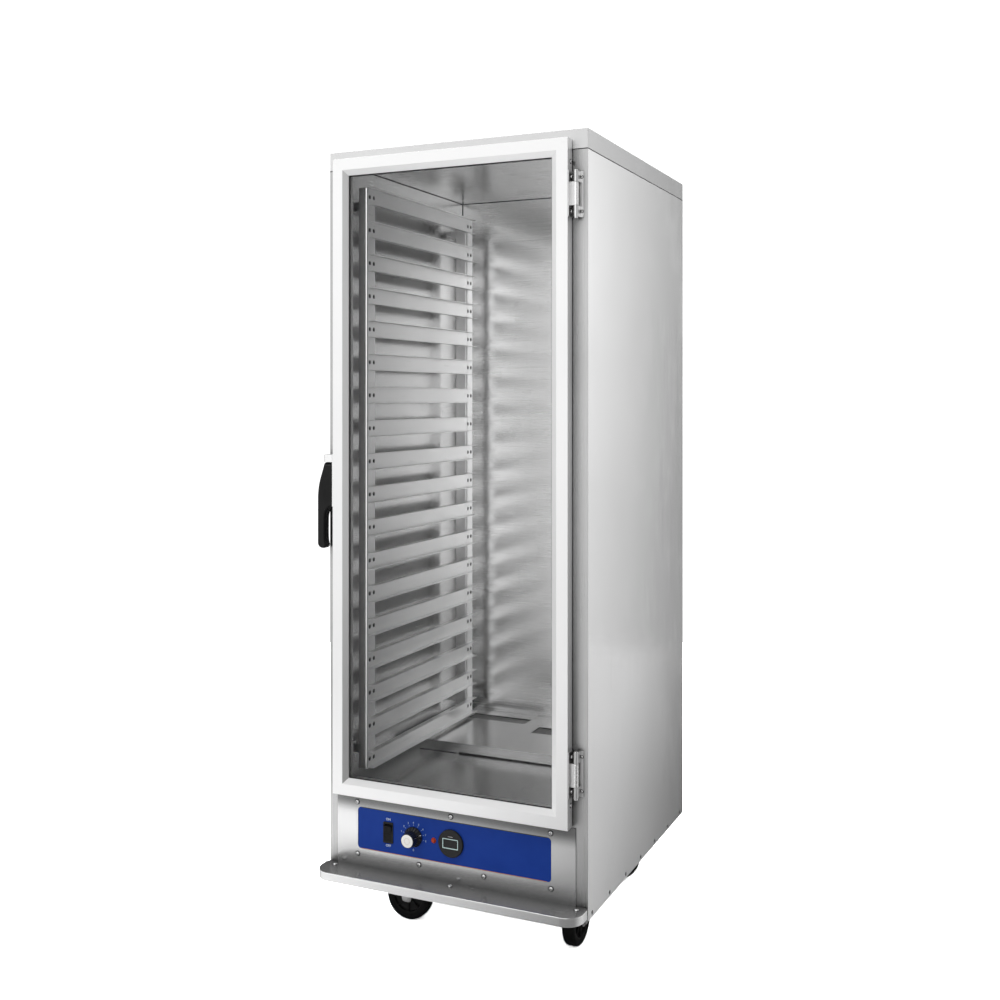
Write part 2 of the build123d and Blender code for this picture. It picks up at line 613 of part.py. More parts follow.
# ---- heater and blower -------------------------------------------------------------
with BuildPart() as heater_cover:
    block((COVER_LEFT, COVER_RIGHT), (COVER_FRONT, COVER_REAR), (CAVITY_FLOOR, COVER_TOP))
    block(
        (COVER_LEFT + SHEET, COVER_RIGHT - SHEET),
        (COVER_FRONT + SHEET, COVER_REAR - SHEET),
        (CAVITY_FLOOR - 1, COVER_TOP - SHEET),
        Mode.SUBTRACT,
    )
    outlet_x = (COVER_LEFT + 110, COVER_RIGHT - 110)
    block(outlet_x, (COVER_FRONT - 1, COVER_FRONT + 3), (CAVITY_FLOOR - 1, CAVITY_FLOOR + 4), Mode.SUBTRACT)
    slot_z = (COVER_TOP - 3, COVER_TOP + 1)
    block((X_LEFT + 85, X_LEFT + 252), (Y_FRONT + 548, Y_FRONT + 596), slot_z, Mode.SUBTRACT)
    block((X_LEFT + 297, X_LEFT + 453), (Y_FRONT + 482, Y_FRONT + 540), slot_z, Mode.SUBTRACT)
save(heater_cover.part, "heater_cover")

ELEMENT_LEG_BOTTOM = SLAB_BOTTOM - 14.0

with BuildPart() as heater_element:
    with BuildLine() as element_path:
        FilletPolyline(
            (ELEMENT_LEFT, ELEMENT_FRONT, ELEMENT_LEG_BOTTOM),
            (ELEMENT_LEFT, ELEMENT_FRONT, ELEMENT_Z),
            (ELEMENT_RIGHT, ELEMENT_FRONT, ELEMENT_Z),
            (ELEMENT_RIGHT, ELEMENT_REAR, ELEMENT_Z),
            (ELEMENT_LEFT, ELEMENT_REAR, ELEMENT_Z),
            (ELEMENT_LEFT, ELEMENT_REAR, ELEMENT_LEG_BOTTOM),
            radius=8.0,
        )
    with BuildSketch(Plane.XY.offset(ELEMENT_LEG_BOTTOM)):
        with Locations((ELEMENT_LEFT, ELEMENT_FRONT)):
            Circle(ELEMENT_RADIUS)
    sweep(path=element_path.wires()[0])
save(heater_element.part, "heater_element")

with BuildPart() as fan_motor:
    rods(MOTOR_RADIUS, 55, "-z", [(FAN_X, FAN_Y, MOTOR_TOP)])
    rods(20.0, 16, "+z", [(FAN_X, FAN_Y, MOTOR_TOP)])
    blocks((110, 110, 2), [(FAN_X, FAN_Y, SLAB_BOTTOM - 1)])
    rods(FAN_SHAFT_RADIUS + RUNNING, 50, "+z", [(FAN_X, FAN_Y, MOTOR_TOP - 20)], Mode.SUBTRACT)
save(fan_motor.part, "fan_motor")

ROTOR_Z = CAVITY_FLOOR + 6.0

with BuildPart() as fan_rotor:
    shaft_low = MOTOR_TOP - 19
    rods(FAN_SHAFT_RADIUS, ROTOR_Z + 15 - shaft_low, "+z", [(FAN_X, FAN_Y, shaft_low)])
    rods(11.0, 14, "+z", [(FAN_X, FAN_Y, ROTOR_Z)])
    rods(FAN_RADIUS, 1.2, "+z", [(FAN_X, FAN_Y, ROTOR_Z)])
    with Locations((FAN_X, FAN_Y, ROTOR_Z + 7.1)):
        with PolarLocations(30.0, 10):
            with Locations(Location((0, 0, 0), (0, 0, 28))):
                Box(34.0, 1.2, 12.0)
save(fan_rotor.part, "fan_rotor")

# ---- back of the cabinet -----------------------------------------------------------
PIN_ANGLES = [math.radians(angle) for angle in (90, 210, 330)]
PRONGS = [(INLET_X + 9 * math.cos(a), Y_BACK - 2, INLET_Z + 9 * math.sin(a)) for a in PIN_ANGLES]
REAR_SCREWS = [(VENT_X + x, Y_BACK + SHEET, VENT_Z + z) for x in (-97, 97) for z in (-62, 62)]

with BuildPart() as power_inlet:
    rods(INLET_RADIUS, 30 + INLET_REACH, "+y", [(INLET_X, Y_BACK - 30, INLET_Z)])
    rods(27.0, 3, "+y", [(INLET_X, Y_BACK, INLET_Z)])
    rods(17.0, 9 + INLET_REACH, "+y", [(INLET_X, Y_BACK - 8, INLET_Z)], Mode.SUBTRACT)
    blocks((6.0, 12.0, 1.6), PRONGS)
save(power_inlet.part, "power_inlet")

with BuildPart() as rear_cover:
    with BuildSketch(Plane.XZ.offset(-Y_BACK)):
        with Locations((VENT_X, VENT_Z)):
            RectangleRounded(210.0, 140.0, 5.0)
            with GridLocations(1.0, 16.0, 1, 6):
                SlotOverall(130.0, 5.0, mode=Mode.SUBTRACT)
    extrude(amount=-SHEET)
    rods(SCREW_HOLE, 4, "+y", [(x, y - 3, z) for x, y, z in REAR_SCREWS], Mode.SUBTRACT)
save(rear_cover.part, "rear_cover")

# ---- door --------------------------------------------------------------------------
RAIL_PROFILE = (
    (0.0, DOOR_FACE),
    (RAIL_FLAT, DOOR_FACE),
    (RAIL_WIDTH, DOOR_FACE + BEVEL_DROP),
    (RAIL_WIDTH, GLASS_FRONT),
    (RAIL_WIDTH - GLASS_COVER, GLASS_FRONT),
    (RAIL_WIDTH - GLASS_COVER, DOOR_REAR),
    (0.0, DOOR_REAR),
)
RAIL_HOLLOW = (
    (RAIL_WALL, DOOR_FACE + RAIL_WALL),
    (RAIL_FLAT - 1, DOOR_FACE + RAIL_WALL),
    (RAIL_WIDTH - GLASS_COVER - RAIL_WALL, DOOR_FACE + RAIL_WALL + 2),
    (RAIL_WIDTH - GLASS_COVER - RAIL_WALL, DOOR_REAR - RAIL_WALL),
    (RAIL_WALL, DOOR_REAR - RAIL_WALL),
)


def door_stile(label, outer, inward):
    """An upright rail of the door frame, mitred at both ends."""
    with BuildPart() as stile:
        with BuildSketch(Plane.XY.offset(DOOR_BOTTOM)):
            with BuildLine():
                Polyline(*[(outer + inward * x, y) for x, y in RAIL_PROFILE], close=True)
            make_face()
            with BuildLine():
                Polyline(*[(outer + inward * x, y) for x, y in RAIL_HOLLOW], close=True)
            make_face(mode=Mode.SUBTRACT)
        extrude(amount=DOOR_TOP - DOOR_BOTTOM)
        split(bisect_by=Plane((outer, 0, DOOR_BOTTOM), z_dir=(-inward, 0, 1)), keep=Keep.TOP)
        split(bisect_by=Plane((outer, 0, DOOR_TOP), z_dir=(-inward, 0, -1)), keep=Keep.TOP)
    save(stile.part, label)


def door_rail(label, outer, inward):
    """A level rail of the door frame, mitred at both ends."""
    with BuildPart() as rail:
        with BuildSketch(Plane.YZ.offset(DOOR_LEFT)):
            with BuildLine():
                Polyline(*[(y, outer + inward * x) for x, y in RAIL_PROFILE], close=True)
            make_face()
            with BuildLine():
                Polyline(*[(y, outer + inward * x) for x, y in RAIL_HOLLOW], close=True)
            make_face(mode=Mode.SUBTRACT)
        extrude(amount=DOOR_RIGHT - DOOR_LEFT)
        split(bisect_by=Plane((DOOR_LEFT, 0, outer), z_dir=(1, 0, -inward)), keep=Keep.TOP)
        split(bisect_by=Plane((DOOR_RIGHT, 0, outer), z_dir=(-1, 0, -inward)), keep=Keep.TOP)
    save(rail.part, label)


door_stile("door_stile_left", DOOR_LEFT, 1)
door_stile("door_stile_right", DOOR_RIGHT, -1)
door_rail("door_rail_bottom", DOOR_BOTTOM, 1)
door_rail("door_rail_top", DOOR_TOP, -1)

REBATE = RAIL_WIDTH - GLASS_COVER
PANE_INSET = REBATE + 0.5
sheet(
    "door_glass",
    (DOOR_LEFT + PANE_INSET, DOOR_RIGHT - PANE_INSET),
    (GLASS_FRONT, GLASS_FRONT + GLASS_THICK),
    (DOOR_BOTTOM + PANE_INSET, DOOR_TOP - PANE_INSET),
)

with BuildPart() as glazing_beads:
    bead_y = (GLASS_FRONT + GLASS_THICK, DOOR_REAR)
    upright_z = (DOOR_BOTTOM + REBATE, DOOR_TOP - REBATE)
    level_x = (DOOR_LEFT + RAIL_WIDTH + 0.1, DOOR_RIGHT - RAIL_WIDTH - 0.1)
    block((DOOR_LEFT + REBATE, DOOR_LEFT + RAIL_WIDTH), bead_y, upright_z)
    block((DOOR_RIGHT - RAIL_WIDTH, DOOR_RIGHT - REBATE), bead_y, upright_z)
    block(level_x, bead_y, (DOOR_BOTTOM + REBATE, DOOR_BOTTOM + RAIL_WIDTH))
    block(level_x, bead_y, (DOOR_TOP - RAIL_WIDTH, DOOR_TOP - REBATE))
save(glazing_beads.part, "glazing_beads")

GASKET_INSET = 2.5
GASKET_INNER = 12.0

with BuildPart() as door_gasket:
    block(
        (DOOR_LEFT + GASKET_INSET, DOOR_RIGHT - GASKET_INSET),
        (DOOR_REAR, Y_FRONT - CLEARANCE),
        (DOOR_BOTTOM + GASKET_INSET, DOOR_TOP - GASKET_INSET),
    )
    block(
        (DOOR_LEFT + GASKET_INNER, DOOR_RIGHT - GASKET_INNER),
        (DOOR_REAR - 1, Y_FRONT + 1),
        (DOOR_BOTTOM + GASKET_INNER, DOOR_TOP - GASKET_INNER),
        Mode.SUBTRACT,
    )
save(door_gasket.part, "door_gasket")

# ---- hinges ------------------------------------------------------------------------
KNUCKLE_GAP = 0.3
HINGE_LOWS = [(HINGE_X, HINGE_Y, centre - HINGE_LENGTH / 2) for centre in HINGE_CENTRES]
LEAF_SCREW_INSET = 12.0
FRAME_SCREW_X = HINGE_X + 8.2
FRAME_SCREW_SHANK = 1.6


def hinge_points(x, y, inset):
    """Two points on each hinge at x and y, inset from the leaf's ends."""
    reach = HINGE_LENGTH / 2 - inset
    return [(x, y, centre + end * reach) for centre in HINGE_CENTRES for end in (-1, 1)]


with BuildPart() as hinge_frame_leaves:
    for x, y, low in HINGE_LOWS:
        block((x + 1, x + 12), (Y_FRONT - HINGE_LEAF, Y_FRONT), (low, low + HINGE_LENGTH))
        for start in (low, low + HINGE_LENGTH - HINGE_KNUCKLE):
            wing_x = (x + HINGE_RADIUS - HINGE_LEAF, x + HINGE_RADIUS)
            block(wing_x, (y, Y_FRONT - HINGE_LEAF), (start, start + HINGE_KNUCKLE))
            rods(HINGE_RADIUS, HINGE_KNUCKLE, "+z", [(x, y, start)])
    rods(HINGE_PIN_RADIUS + RUNNING, HINGE_LENGTH, "+z", HINGE_LOWS, Mode.SUBTRACT)
    frame_holes = hinge_points(FRAME_SCREW_X, Y_FRONT - 5, LEAF_SCREW_INSET)
    rods(FRAME_SCREW_SHANK + 0.2, 6, "+y", frame_holes, Mode.SUBTRACT)
save(hinge_frame_leaves.part, "hinge_frame_leaves")

with BuildPart() as hinge_door_leaves:
    for x, y, low in HINGE_LOWS:
        plate_x = (DOOR_RIGHT, DOOR_RIGHT + HINGE_LEAF)
        block(plate_x, (DOOR_FACE + 2, DOOR_REAR - 1), (low, low + HINGE_LENGTH))
        start = low + HINGE_KNUCKLE + KNUCKLE_GAP
        height = HINGE_LENGTH - 2 * (HINGE_KNUCKLE + KNUCKLE_GAP)
        web_y = (y - HINGE_RADIUS, y - HINGE_RADIUS + HINGE_LEAF)
        block((plate_x[1], x), web_y, (start, start + height))
        rods(HINGE_RADIUS, height, "+z", [(x, y, start)])
    rods(HINGE_PIN_RADIUS + RUNNING, HINGE_LENGTH, "+z", HINGE_LOWS, Mode.SUBTRACT)
    door_holes = hinge_points(DOOR_RIGHT - 2, DOOR_REAR - 8, LEAF_SCREW_INSET)
    rods(SCREW_HOLE, 6, "+x", door_holes, Mode.SUBTRACT)
save(hinge_door_leaves.part, "hinge_door_leaves")

with BuildPart() as hinge_pins:
    rods(HINGE_PIN_RADIUS, HINGE_LENGTH, "+z", HINGE_LOWS)
    rods(HINGE_RADIUS - 1.2, 3, "-z", HINGE_LOWS)
    rods(HINGE_RADIUS - 1.0, 1.5, "+z", [(x, y, low + HINGE_LENGTH) for x, y, low in HINGE_LOWS])
save(hinge_pins.part, "hinge_pins")

# ---- latch -------------------------------------------------------------------------
PLATE_FACE = DOOR_LEFT - LATCH_PLATE
BOLT_X_RANGE = (BOLT_X - 4, BOLT_X + 4)
BOLT_Y_RANGE = (LATCH_PIVOT_Y + CAM_REACH - 2, LATCH_PIVOT_Y + CAM_REACH + 2)
BOLT_LOW = Z_BASE + 880.0
KEEPER_Z = (BOLT_LOW + 6.3, BOLT_LOW + 11.3)
PIN_LEFT = X_LEFT + 3.5

with BuildPart() as latch_base:
    block((PLATE_FACE, DOOR_LEFT), (DOOR_FACE + 1, DOOR_REAR - 2), (Z_BASE + 845, LATCH_TOP))
    block((X_LEFT, PLATE_FACE), (LEVER_FRONT, LEVER_BACK + 3), (Z_BASE + 946, LATCH_TOP))
    fillet(latch_base.edges().filter_by(Axis.Z).group_by(Axis.X)[0], 5.0)
    block((BOLT_X - 5.5, PLATE_FACE), (Y_FRONT - 8.7, Y_FRONT - 1.6), (Z_BASE + 905, Z_BASE + 915))
    block(
        (BOLT_X_RANGE[0] - CLEARANCE, BOLT_X_RANGE[1] + CLEARANCE),
        (BOLT_Y_RANGE[0] - CLEARANCE, BOLT_Y_RANGE[1] + CLEARANCE),
        (Z_BASE + 904, Z_BASE + 916),
        Mode.SUBTRACT,
    )
    rods(LATCH_PIN_RADIUS, PLATE_FACE - PIN_LEFT, "+x", [(PIN_LEFT, LATCH_PIVOT_Y, LATCH_PIVOT_Z)])
save(latch_base.part, "latch_base")

LEVER_INNER = PLATE_FACE - CLEARANCE
GRIP_LEFT = X_LEFT - HANDLE_REACH
GRIP_RIGHT = X_LEFT + 2.5
FINGER_RADIUS = 1.5

with BuildPart() as latch_lever:
    with BuildSketch(Plane.XZ.offset(-LEVER_BACK)):
        with BuildLine():
            Line((LEVER_INNER, LEVER_TOP), (X_LEFT + 1, LEVER_TOP))
            Spline(
                (X_LEFT + 1, LEVER_TOP),
                (X_LEFT - 11.0, Z_BASE + 906.0),
                (GRIP_LEFT, Z_BASE + 862.0),
                tangents=[(-0.25, -1), (0, -1)],
            )
            Line((GRIP_LEFT, Z_BASE + 862.0), (GRIP_LEFT, LEVER_LOW + 10))
            ThreePointArc(
                (GRIP_LEFT, LEVER_LOW + 10),
                (GRIP_LEFT + 6, LEVER_LOW + 1.6),
                (GRIP_LEFT + 13, LEVER_LOW),
            )
            ThreePointArc(
                (GRIP_LEFT + 13, LEVER_LOW),
                (GRIP_RIGHT + 1.2, LEVER_LOW + 3),
                (GRIP_RIGHT + 2.5, LEVER_LOW + 10),
            )
            Spline(
                (GRIP_RIGHT + 2.5, LEVER_LOW + 10),
                (GRIP_RIGHT, LEVER_LOW + 26),
                (GRIP_RIGHT, Z_BASE + 815.0),
                tangents=[(-0.4, 1), (0, 1)],
            )
            Spline(
                (GRIP_RIGHT, Z_BASE + 815.0),
                (LEVER_INNER - 11, Z_BASE + 841.0),
                (LEVER_INNER, Z_BASE + 848.0),
                tangents=[(0, 1), (1, 0.3)],
            )
            Line((LEVER_INNER, Z_BASE + 848.0), (LEVER_INNER, LEVER_TOP))
        make_face()
    extrude(amount=LEVER_BACK - LEVER_FRONT)
    front_edges = latch_lever.faces().sort_by(Axis.Y)[0].edges()
    fillet(front_edges.filter_by_position(Axis.X, GRIP_LEFT - 1, LEVER_INNER - 0.1), 6.0)
    with BuildSketch(Plane.YZ.offset(GRIP_LEFT - 1)):
        with Locations((LATCH_PIVOT_Y - 10, LATCH_PIVOT_Z + 10)):
            Rectangle(20, 20)
        with Locations((LATCH_PIVOT_Y, LATCH_PIVOT_Z)):
            Circle(LEVER_TOP - LATCH_PIVOT_Z, mode=Mode.SUBTRACT)
    extrude(amount=50, mode=Mode.SUBTRACT)
    pin_room = [(PIN_LEFT - 0.5, LATCH_PIVOT_Y, LATCH_PIVOT_Z)]
    rods(LATCH_PIN_RADIUS + RUNNING, 30, "+x", pin_room, Mode.SUBTRACT)
    pocket_y = (Y_FRONT - 11.5, LEVER_BACK + 1)
    block((BOLT_X - 6, BOLT_X + 6), pocket_y, (Z_BASE + 872, LEVER_TOP + 1), Mode.SUBTRACT)
    finger_y = (pocket_y[0], LATCH_PIVOT_Y + CAM_REACH)
    finger_x = (BOLT_X - 2, BOLT_X + 2)
    block(finger_x, finger_y, (LATCH_PIVOT_Z - 0.9, LATCH_PIVOT_Z + 0.9))
    rods(FINGER_RADIUS, 4, "+x", [(finger_x[0], finger_y[1], LATCH_PIVOT_Z)])
save(latch_lever.part, "latch_lever")

with BuildPart() as latch_bolt:
    block(BOLT_X_RANGE, BOLT_Y_RANGE, (BOLT_LOW, LATCH_PIVOT_Z + 6))
    block(BOLT_X_RANGE, (BOLT_Y_RANGE[1], Y_FRONT - 1.3), (BOLT_LOW, BOLT_LOW + 6))
    block(BOLT_X_RANGE, (Y_FRONT - 2.4, Y_FRONT - 1.3), (BOLT_LOW + 6, BOLT_LOW + 10))
    blocks((4.8, 12, 4.2), [(BOLT_X, LATCH_PIVOT_Y + CAM_REACH, LATCH_PIVOT_Z)], Mode.SUBTRACT)
save(latch_bolt.part, "latch_bolt")

with BuildPart() as latch_strike:
    block((BOLT_X - 9, BOLT_X + 9), (Y_FRONT - 1, Y_FRONT), (Z_BASE + 868, Z_BASE + 904))
    block((BOLT_X - 7, BOLT_X + 7), (Y_FRONT - 3.5, Y_FRONT - 2.7), KEEPER_Z)
    block((BOLT_X - 7, BOLT_X - 5), (Y_FRONT - 2.7, Y_FRONT - 1), KEEPER_Z)
    block((BOLT_X + 5, BOLT_X + 7), (Y_FRONT - 2.7, Y_FRONT - 1), KEEPER_Z)
save(latch_strike.part, "latch_strike")

# ---- screws ------------------------------------------------------------------------
BRACKET_SCREW_SPOTS = [(y + 30, z) for y in (RACK_POST_FRONT, RACK_POST_REAR) for z in BRACKET_HEIGHTS]

with BuildPart() as case_screws:
    screws("-y", "+y", 1.4, PANEL_SCREWS)
    frame_spots = hinge_points(FRAME_SCREW_X, Y_FRONT - HINGE_LEAF, LEAF_SCREW_INSET)
    domes(2.8, 1.4, "-y", frame_spots)
    rods(FRAME_SCREW_SHANK, 1.9, "+y", frame_spots)
    screws("+z", "-z", 12, BUMPER_SCREWS)
    screws("+y", "-y", 1.1, REAR_SCREWS)
    screws("+x", "-x", 1.9, [(CAVITY_LEFT + BRACKET_SHEET, y, z) for y, z in BRACKET_SCREW_SPOTS])
    screws("-x", "+x", 1.9, [(CAVITY_RIGHT - BRACKET_SHEET, y, z) for y, z in BRACKET_SCREW_SPOTS])
save(case_screws.part, "case_screws")

CORNER_SCREW_ZS = (DOOR_BOTTOM + 48.0, DOOR_TOP - 48.0)

with BuildPart() as door_screws:
    leaf_face = DOOR_RIGHT + HINGE_LEAF
    screws("+x", "-x", 1.9, hinge_points(leaf_face, DOOR_REAR - 8, LEAF_SCREW_INSET))
    domes(4.0, 1.5, "+x", [(DOOR_RIGHT, DOOR_REAR - 8, z) for z in CORNER_SCREW_ZS])
    domes(4.0, 1.5, "-x", [(DOOR_LEFT, DOOR_REAR - 8, z) for z in CORNER_SCREW_ZS])
save(door_screws.part, "door_screws")

# ---- casters -----------------------------------------------------------------------
SWIVELS = [(x, y) for name, x, y, heading in CASTERS]
ALL_BOLTS = [spot for x, y in SWIVELS for spot in corners(x, y, 38, 30, Z_BASE)]

with BuildPart() as caster_plates:
    blocks((95.0, 78.0, PLATE_THICK), [(x, y, Z_BASE - PLATE_THICK / 2) for x, y in SWIVELS])
    race_height = Z_BASE - PLATE_THICK - RACE_LOW
    rods(RACE_RADIUS, race_height, "+z", [(x, y, RACE_LOW) for x, y in SWIVELS])
    rods(KINGPIN_RADIUS, RACE_LOW - CROWN_LOW + 1, "-z", [(x, y, RACE_LOW) for x, y in SWIVELS])
    rods(10.0, 4 - CLEARANCE, "+z", [(x, y, CROWN_LOW - 4) for x, y in SWIVELS])
    plate_holes = [(x, y, z - 5) for x, y, z in ALL_BOLTS]
    rods(PLATE_BOLT_RADIUS + CLEARANCE, 10, "+z", plate_holes, Mode.SUBTRACT)
save(caster_plates.part, "caster_plates")

with BuildPart() as caster_bolts:
    with BuildSketch(Plane.XY.offset(Z_BASE - PLATE_THICK)):
        with Locations(*[(x, y) for x, y, z in ALL_BOLTS]):
            RegularPolygon(7.0, 6)
    extrude(amount=-5)
    with BuildSketch(Plane.XY.offset(Z_BASE + PAN_SHEET)):
        with Locations(*[(x, y) for x, y, z in ALL_BOLTS]):
            RegularPolygon(7.0, 6)
    extrude(amount=6)
    rods(PLATE_BOLT_RADIUS, 13, "+z", [(x, y, z - 4) for x, y, z in ALL_BOLTS])
save(caster_bolts.part, "caster_bolts")

FORK_REACH = FORK_INNER + FORK_SHEET

# One fork, axle bolt, tyre and hub round the swivel axis, trailing towards +X.
with BuildPart() as fork:
    rods(24.0, RACE_LOW - CLEARANCE - CROWN_HIGH, "+z", [(0, 0, CROWN_HIGH)])
    block((-26, 30), (-FORK_REACH, FORK_REACH), (CROWN_LOW, CROWN_HIGH))
    with BuildSketch(Plane.XZ.offset(-FORK_REACH)):
        with BuildLine():
            Polyline(
                (-26, CROWN_LOW),
                (30, CROWN_LOW),
                (TRAIL + 12, WHEEL_RADIUS + 6),
                (TRAIL + 12, WHEEL_RADIUS - 12),
                (TRAIL - 12, WHEEL_RADIUS - 12),
                (TRAIL - 12, WHEEL_RADIUS + 4),
                (-14, CROWN_LOW - 14),
                (-26, CROWN_LOW - 14),
                close=True,
            )
        make_face()
    extrude(amount=2 * FORK_REACH)
    block((-40, 60), (-FORK_INNER, FORK_INNER), (0, CROWN_LOW), Mode.SUBTRACT)
    rods(KINGPIN_RADIUS + RUNNING, 20, "+z", [(0, 0, CROWN_LOW - 2)], Mode.SUBTRACT)
    rods(AXLE_RADIUS + 0.2, 60, "+y", [(TRAIL, -30, WHEEL_RADIUS)], Mode.SUBTRACT)

with BuildPart() as axle:
    with BuildSketch(Plane.XZ.offset(FORK_REACH)):
        with Locations((TRAIL, WHEEL_RADIUS)):
            RegularPolygon(8.5, 6)
    extrude(amount=5)
    with BuildSketch(Plane.XZ.offset(-FORK_REACH)):
        with Locations((TRAIL, WHEEL_RADIUS)):
            RegularPolygon(8.5, 6)
    extrude(amount=-5)
    rods(AXLE_RADIUS, 2 * FORK_REACH, "+y", [(TRAIL, -FORK_REACH, WHEEL_RADIUS)])

RIM = WHEEL_RADIUS - 16
TREAD_HALF = TREAD_WIDTH / 2
HUB_HALF = HUB_WIDTH / 2
AXLE_LINE = Plane((TRAIL, 0, WHEEL_RADIUS))

with BuildPart() as tyre:
    with BuildSketch(AXLE_LINE):
        with BuildLine():
            Polyline(
                (RIM, -TREAD_HALF + 1),
                (WHEEL_RADIUS - 5, -TREAD_HALF),
                (WHEEL_RADIUS, -TREAD_HALF + 7),
                (WHEEL_RADIUS, TREAD_HALF - 7),
                (WHEEL_RADIUS - 5, TREAD_HALF),
                (RIM, TREAD_HALF - 1),
                close=True,
            )
        make_face()
    revolve(axis=Axis((TRAIL, 0, WHEEL_RADIUS), (0, 1, 0)))

with BuildPart() as hub:
    with BuildSketch(AXLE_LINE):
        with BuildLine():
            Polyline(
                (AXLE_RADIUS + RUNNING, -HUB_HALF),
                (14, -HUB_HALF),
                (14, -7),
                (34, -7),
                (34, -TREAD_HALF + 2),
                (RIM, -TREAD_HALF + 2),
                (RIM, TREAD_HALF - 2),
                (34, TREAD_HALF - 2),
                (34, 7),
                (14, 7),
                (14, HUB_HALF),
                (AXLE_RADIUS + RUNNING, HUB_HALF),
                close=True,
            )
        make_face()
    revolve(axis=Axis((TRAIL, 0, WHEEL_RADIUS), (0, 1, 0)))

for name, x, y, heading in CASTERS:
    place = Location((x, y, 0), (0, 0, heading))
    save(Compound([place * fork.part, place * axle.part]), f"caster_fork_{name}")
    save(Compound([place * tyre.part, place * hub.part]), f"caster_wheel_{name}")
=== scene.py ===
import json
import math

import bmesh
import bpy
from mathutils import Matrix, Vector


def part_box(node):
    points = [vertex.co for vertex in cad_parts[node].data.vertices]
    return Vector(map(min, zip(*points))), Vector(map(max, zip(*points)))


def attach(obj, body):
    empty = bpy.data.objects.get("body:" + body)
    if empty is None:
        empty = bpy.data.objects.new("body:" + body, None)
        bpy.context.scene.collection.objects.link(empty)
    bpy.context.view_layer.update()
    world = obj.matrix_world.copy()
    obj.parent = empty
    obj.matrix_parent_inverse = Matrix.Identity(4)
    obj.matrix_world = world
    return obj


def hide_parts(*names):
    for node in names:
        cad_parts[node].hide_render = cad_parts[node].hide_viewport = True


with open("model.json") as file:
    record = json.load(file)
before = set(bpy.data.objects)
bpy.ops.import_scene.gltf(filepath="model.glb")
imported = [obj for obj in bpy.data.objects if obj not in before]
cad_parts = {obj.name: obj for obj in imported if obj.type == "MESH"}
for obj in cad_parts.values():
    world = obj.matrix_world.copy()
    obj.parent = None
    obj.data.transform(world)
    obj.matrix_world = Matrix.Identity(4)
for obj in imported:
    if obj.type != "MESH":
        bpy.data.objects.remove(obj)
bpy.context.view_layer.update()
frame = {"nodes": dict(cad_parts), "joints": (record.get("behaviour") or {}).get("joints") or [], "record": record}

# Looks of the food holding cabinet. Metres, +Z up, the door faces -Y. Pieces are placed
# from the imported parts' own boxes, lumps and joints.

NODES = frame["nodes"]
MM = 0.001


# ---- node-building helpers ---------------------------------------------------------
def new_material(name):
    """A material with its node tree and its Principled shader."""
    m = bpy.data.materials.new(name)
    m.use_nodes = True
    tree = m.node_tree
    return m, tree, tree.nodes["Principled BSDF"]


def add(tree, kind, **values):
    """Add a node and set its properties."""
    node = tree.nodes.new(kind)
    for key, value in values.items():
        setattr(node, key, value)
    return node


def grain(tree, scale, detail=3.0):
    """Noise on object coordinates, stretched by scale; returns its value socket."""
    coords = add(tree, "ShaderNodeTexCoord")
    mapping = add(tree, "ShaderNodeMapping")
    mapping.inputs["Scale"].default_value = scale
    noise = add(tree, "ShaderNodeTexNoise")
    noise.inputs["Scale"].default_value = 1.0
    noise.inputs["Detail"].default_value = detail
    noise.inputs["Roughness"].default_value = 0.6
    tree.links.new(coords.outputs["Object"], mapping.inputs["Vector"])
    tree.links.new(mapping.outputs["Vector"], noise.inputs["Vector"])
    return noise.outputs["Fac"]


def axes_of(tree, output):
    """The X, Y and Z of the object's own coordinates or of its surface direction."""
    coords = add(tree, "ShaderNodeTexCoord")
    axes = add(tree, "ShaderNodeSeparateXYZ")
    tree.links.new(coords.outputs[output], axes.inputs["Vector"])
    return axes.outputs


def multiplied(tree, colour, level):
    """A colour times a grey level."""
    product = add(tree, "ShaderNodeMix", data_type="RGBA", blend_type="MULTIPLY")
    product.inputs["Factor"].default_value = 1.0
    tree.links.new(colour, product.inputs[6])
    tree.links.new(level, product.inputs[7])
    return product.outputs[2]


def ramp_range(tree, source, low, high, start=0.3, end=0.7, blend="LINEAR"):
    """Map a value from the range start to end onto the range low to high."""
    node = add(tree, "ShaderNodeMapRange", interpolation_type=blend)
    node.inputs["From Min"].default_value = start
    node.inputs["From Max"].default_value = end
    node.inputs["To Min"].default_value = low
    node.inputs["To Max"].default_value = high
    tree.links.new(source, node.inputs["Value"])
    return node.outputs["Result"]


def mix_colour(tree, source, low, high, start=0.35, end=0.65):
    """Blend between two colours by a noise value."""
    ramp = add(tree, "ShaderNodeValToRGB")
    ramp.color_ramp.elements[0].position = start
    ramp.color_ramp.elements[0].color = (*low, 1)
    ramp.color_ramp.elements[1].position = end
    ramp.color_ramp.elements[1].color = (*high, 1)
    tree.links.new(source, ramp.inputs["Fac"])
    return ramp.outputs["Color"]


def add_bump(tree, shader, source, strength, distance, edge=0.0):
    """Bump from a noise value, over edges that look rounded by the radius edge."""
    bump = add(tree, "ShaderNodeBump")
    bump.inputs["Strength"].default_value = strength
    bump.inputs["Distance"].default_value = distance
    tree.links.new(source, bump.inputs["Height"])
    if edge:
        bevel = add(tree, "ShaderNodeBevel", samples=4)
        bevel.inputs["Radius"].default_value = edge
        tree.links.new(bevel.outputs["Normal"], bump.inputs["Normal"])
    tree.links.new(bump.outputs["Normal"], shader.inputs["Normal"])


def painted_occlusion_shade(tree, source, reach, darkest, start, end):
    """Paint shade into a colour where other surfaces stand close in front of it."""
    painted_shade = add(tree, "ShaderNodeAmbientOcclusion", samples=6)
    painted_shade.inputs["Distance"].default_value = reach
    level = ramp_range(tree, painted_shade.outputs["AO"], darkest, 1.0, start, end, "SMOOTHSTEP")
    return multiplied(tree, source, level)


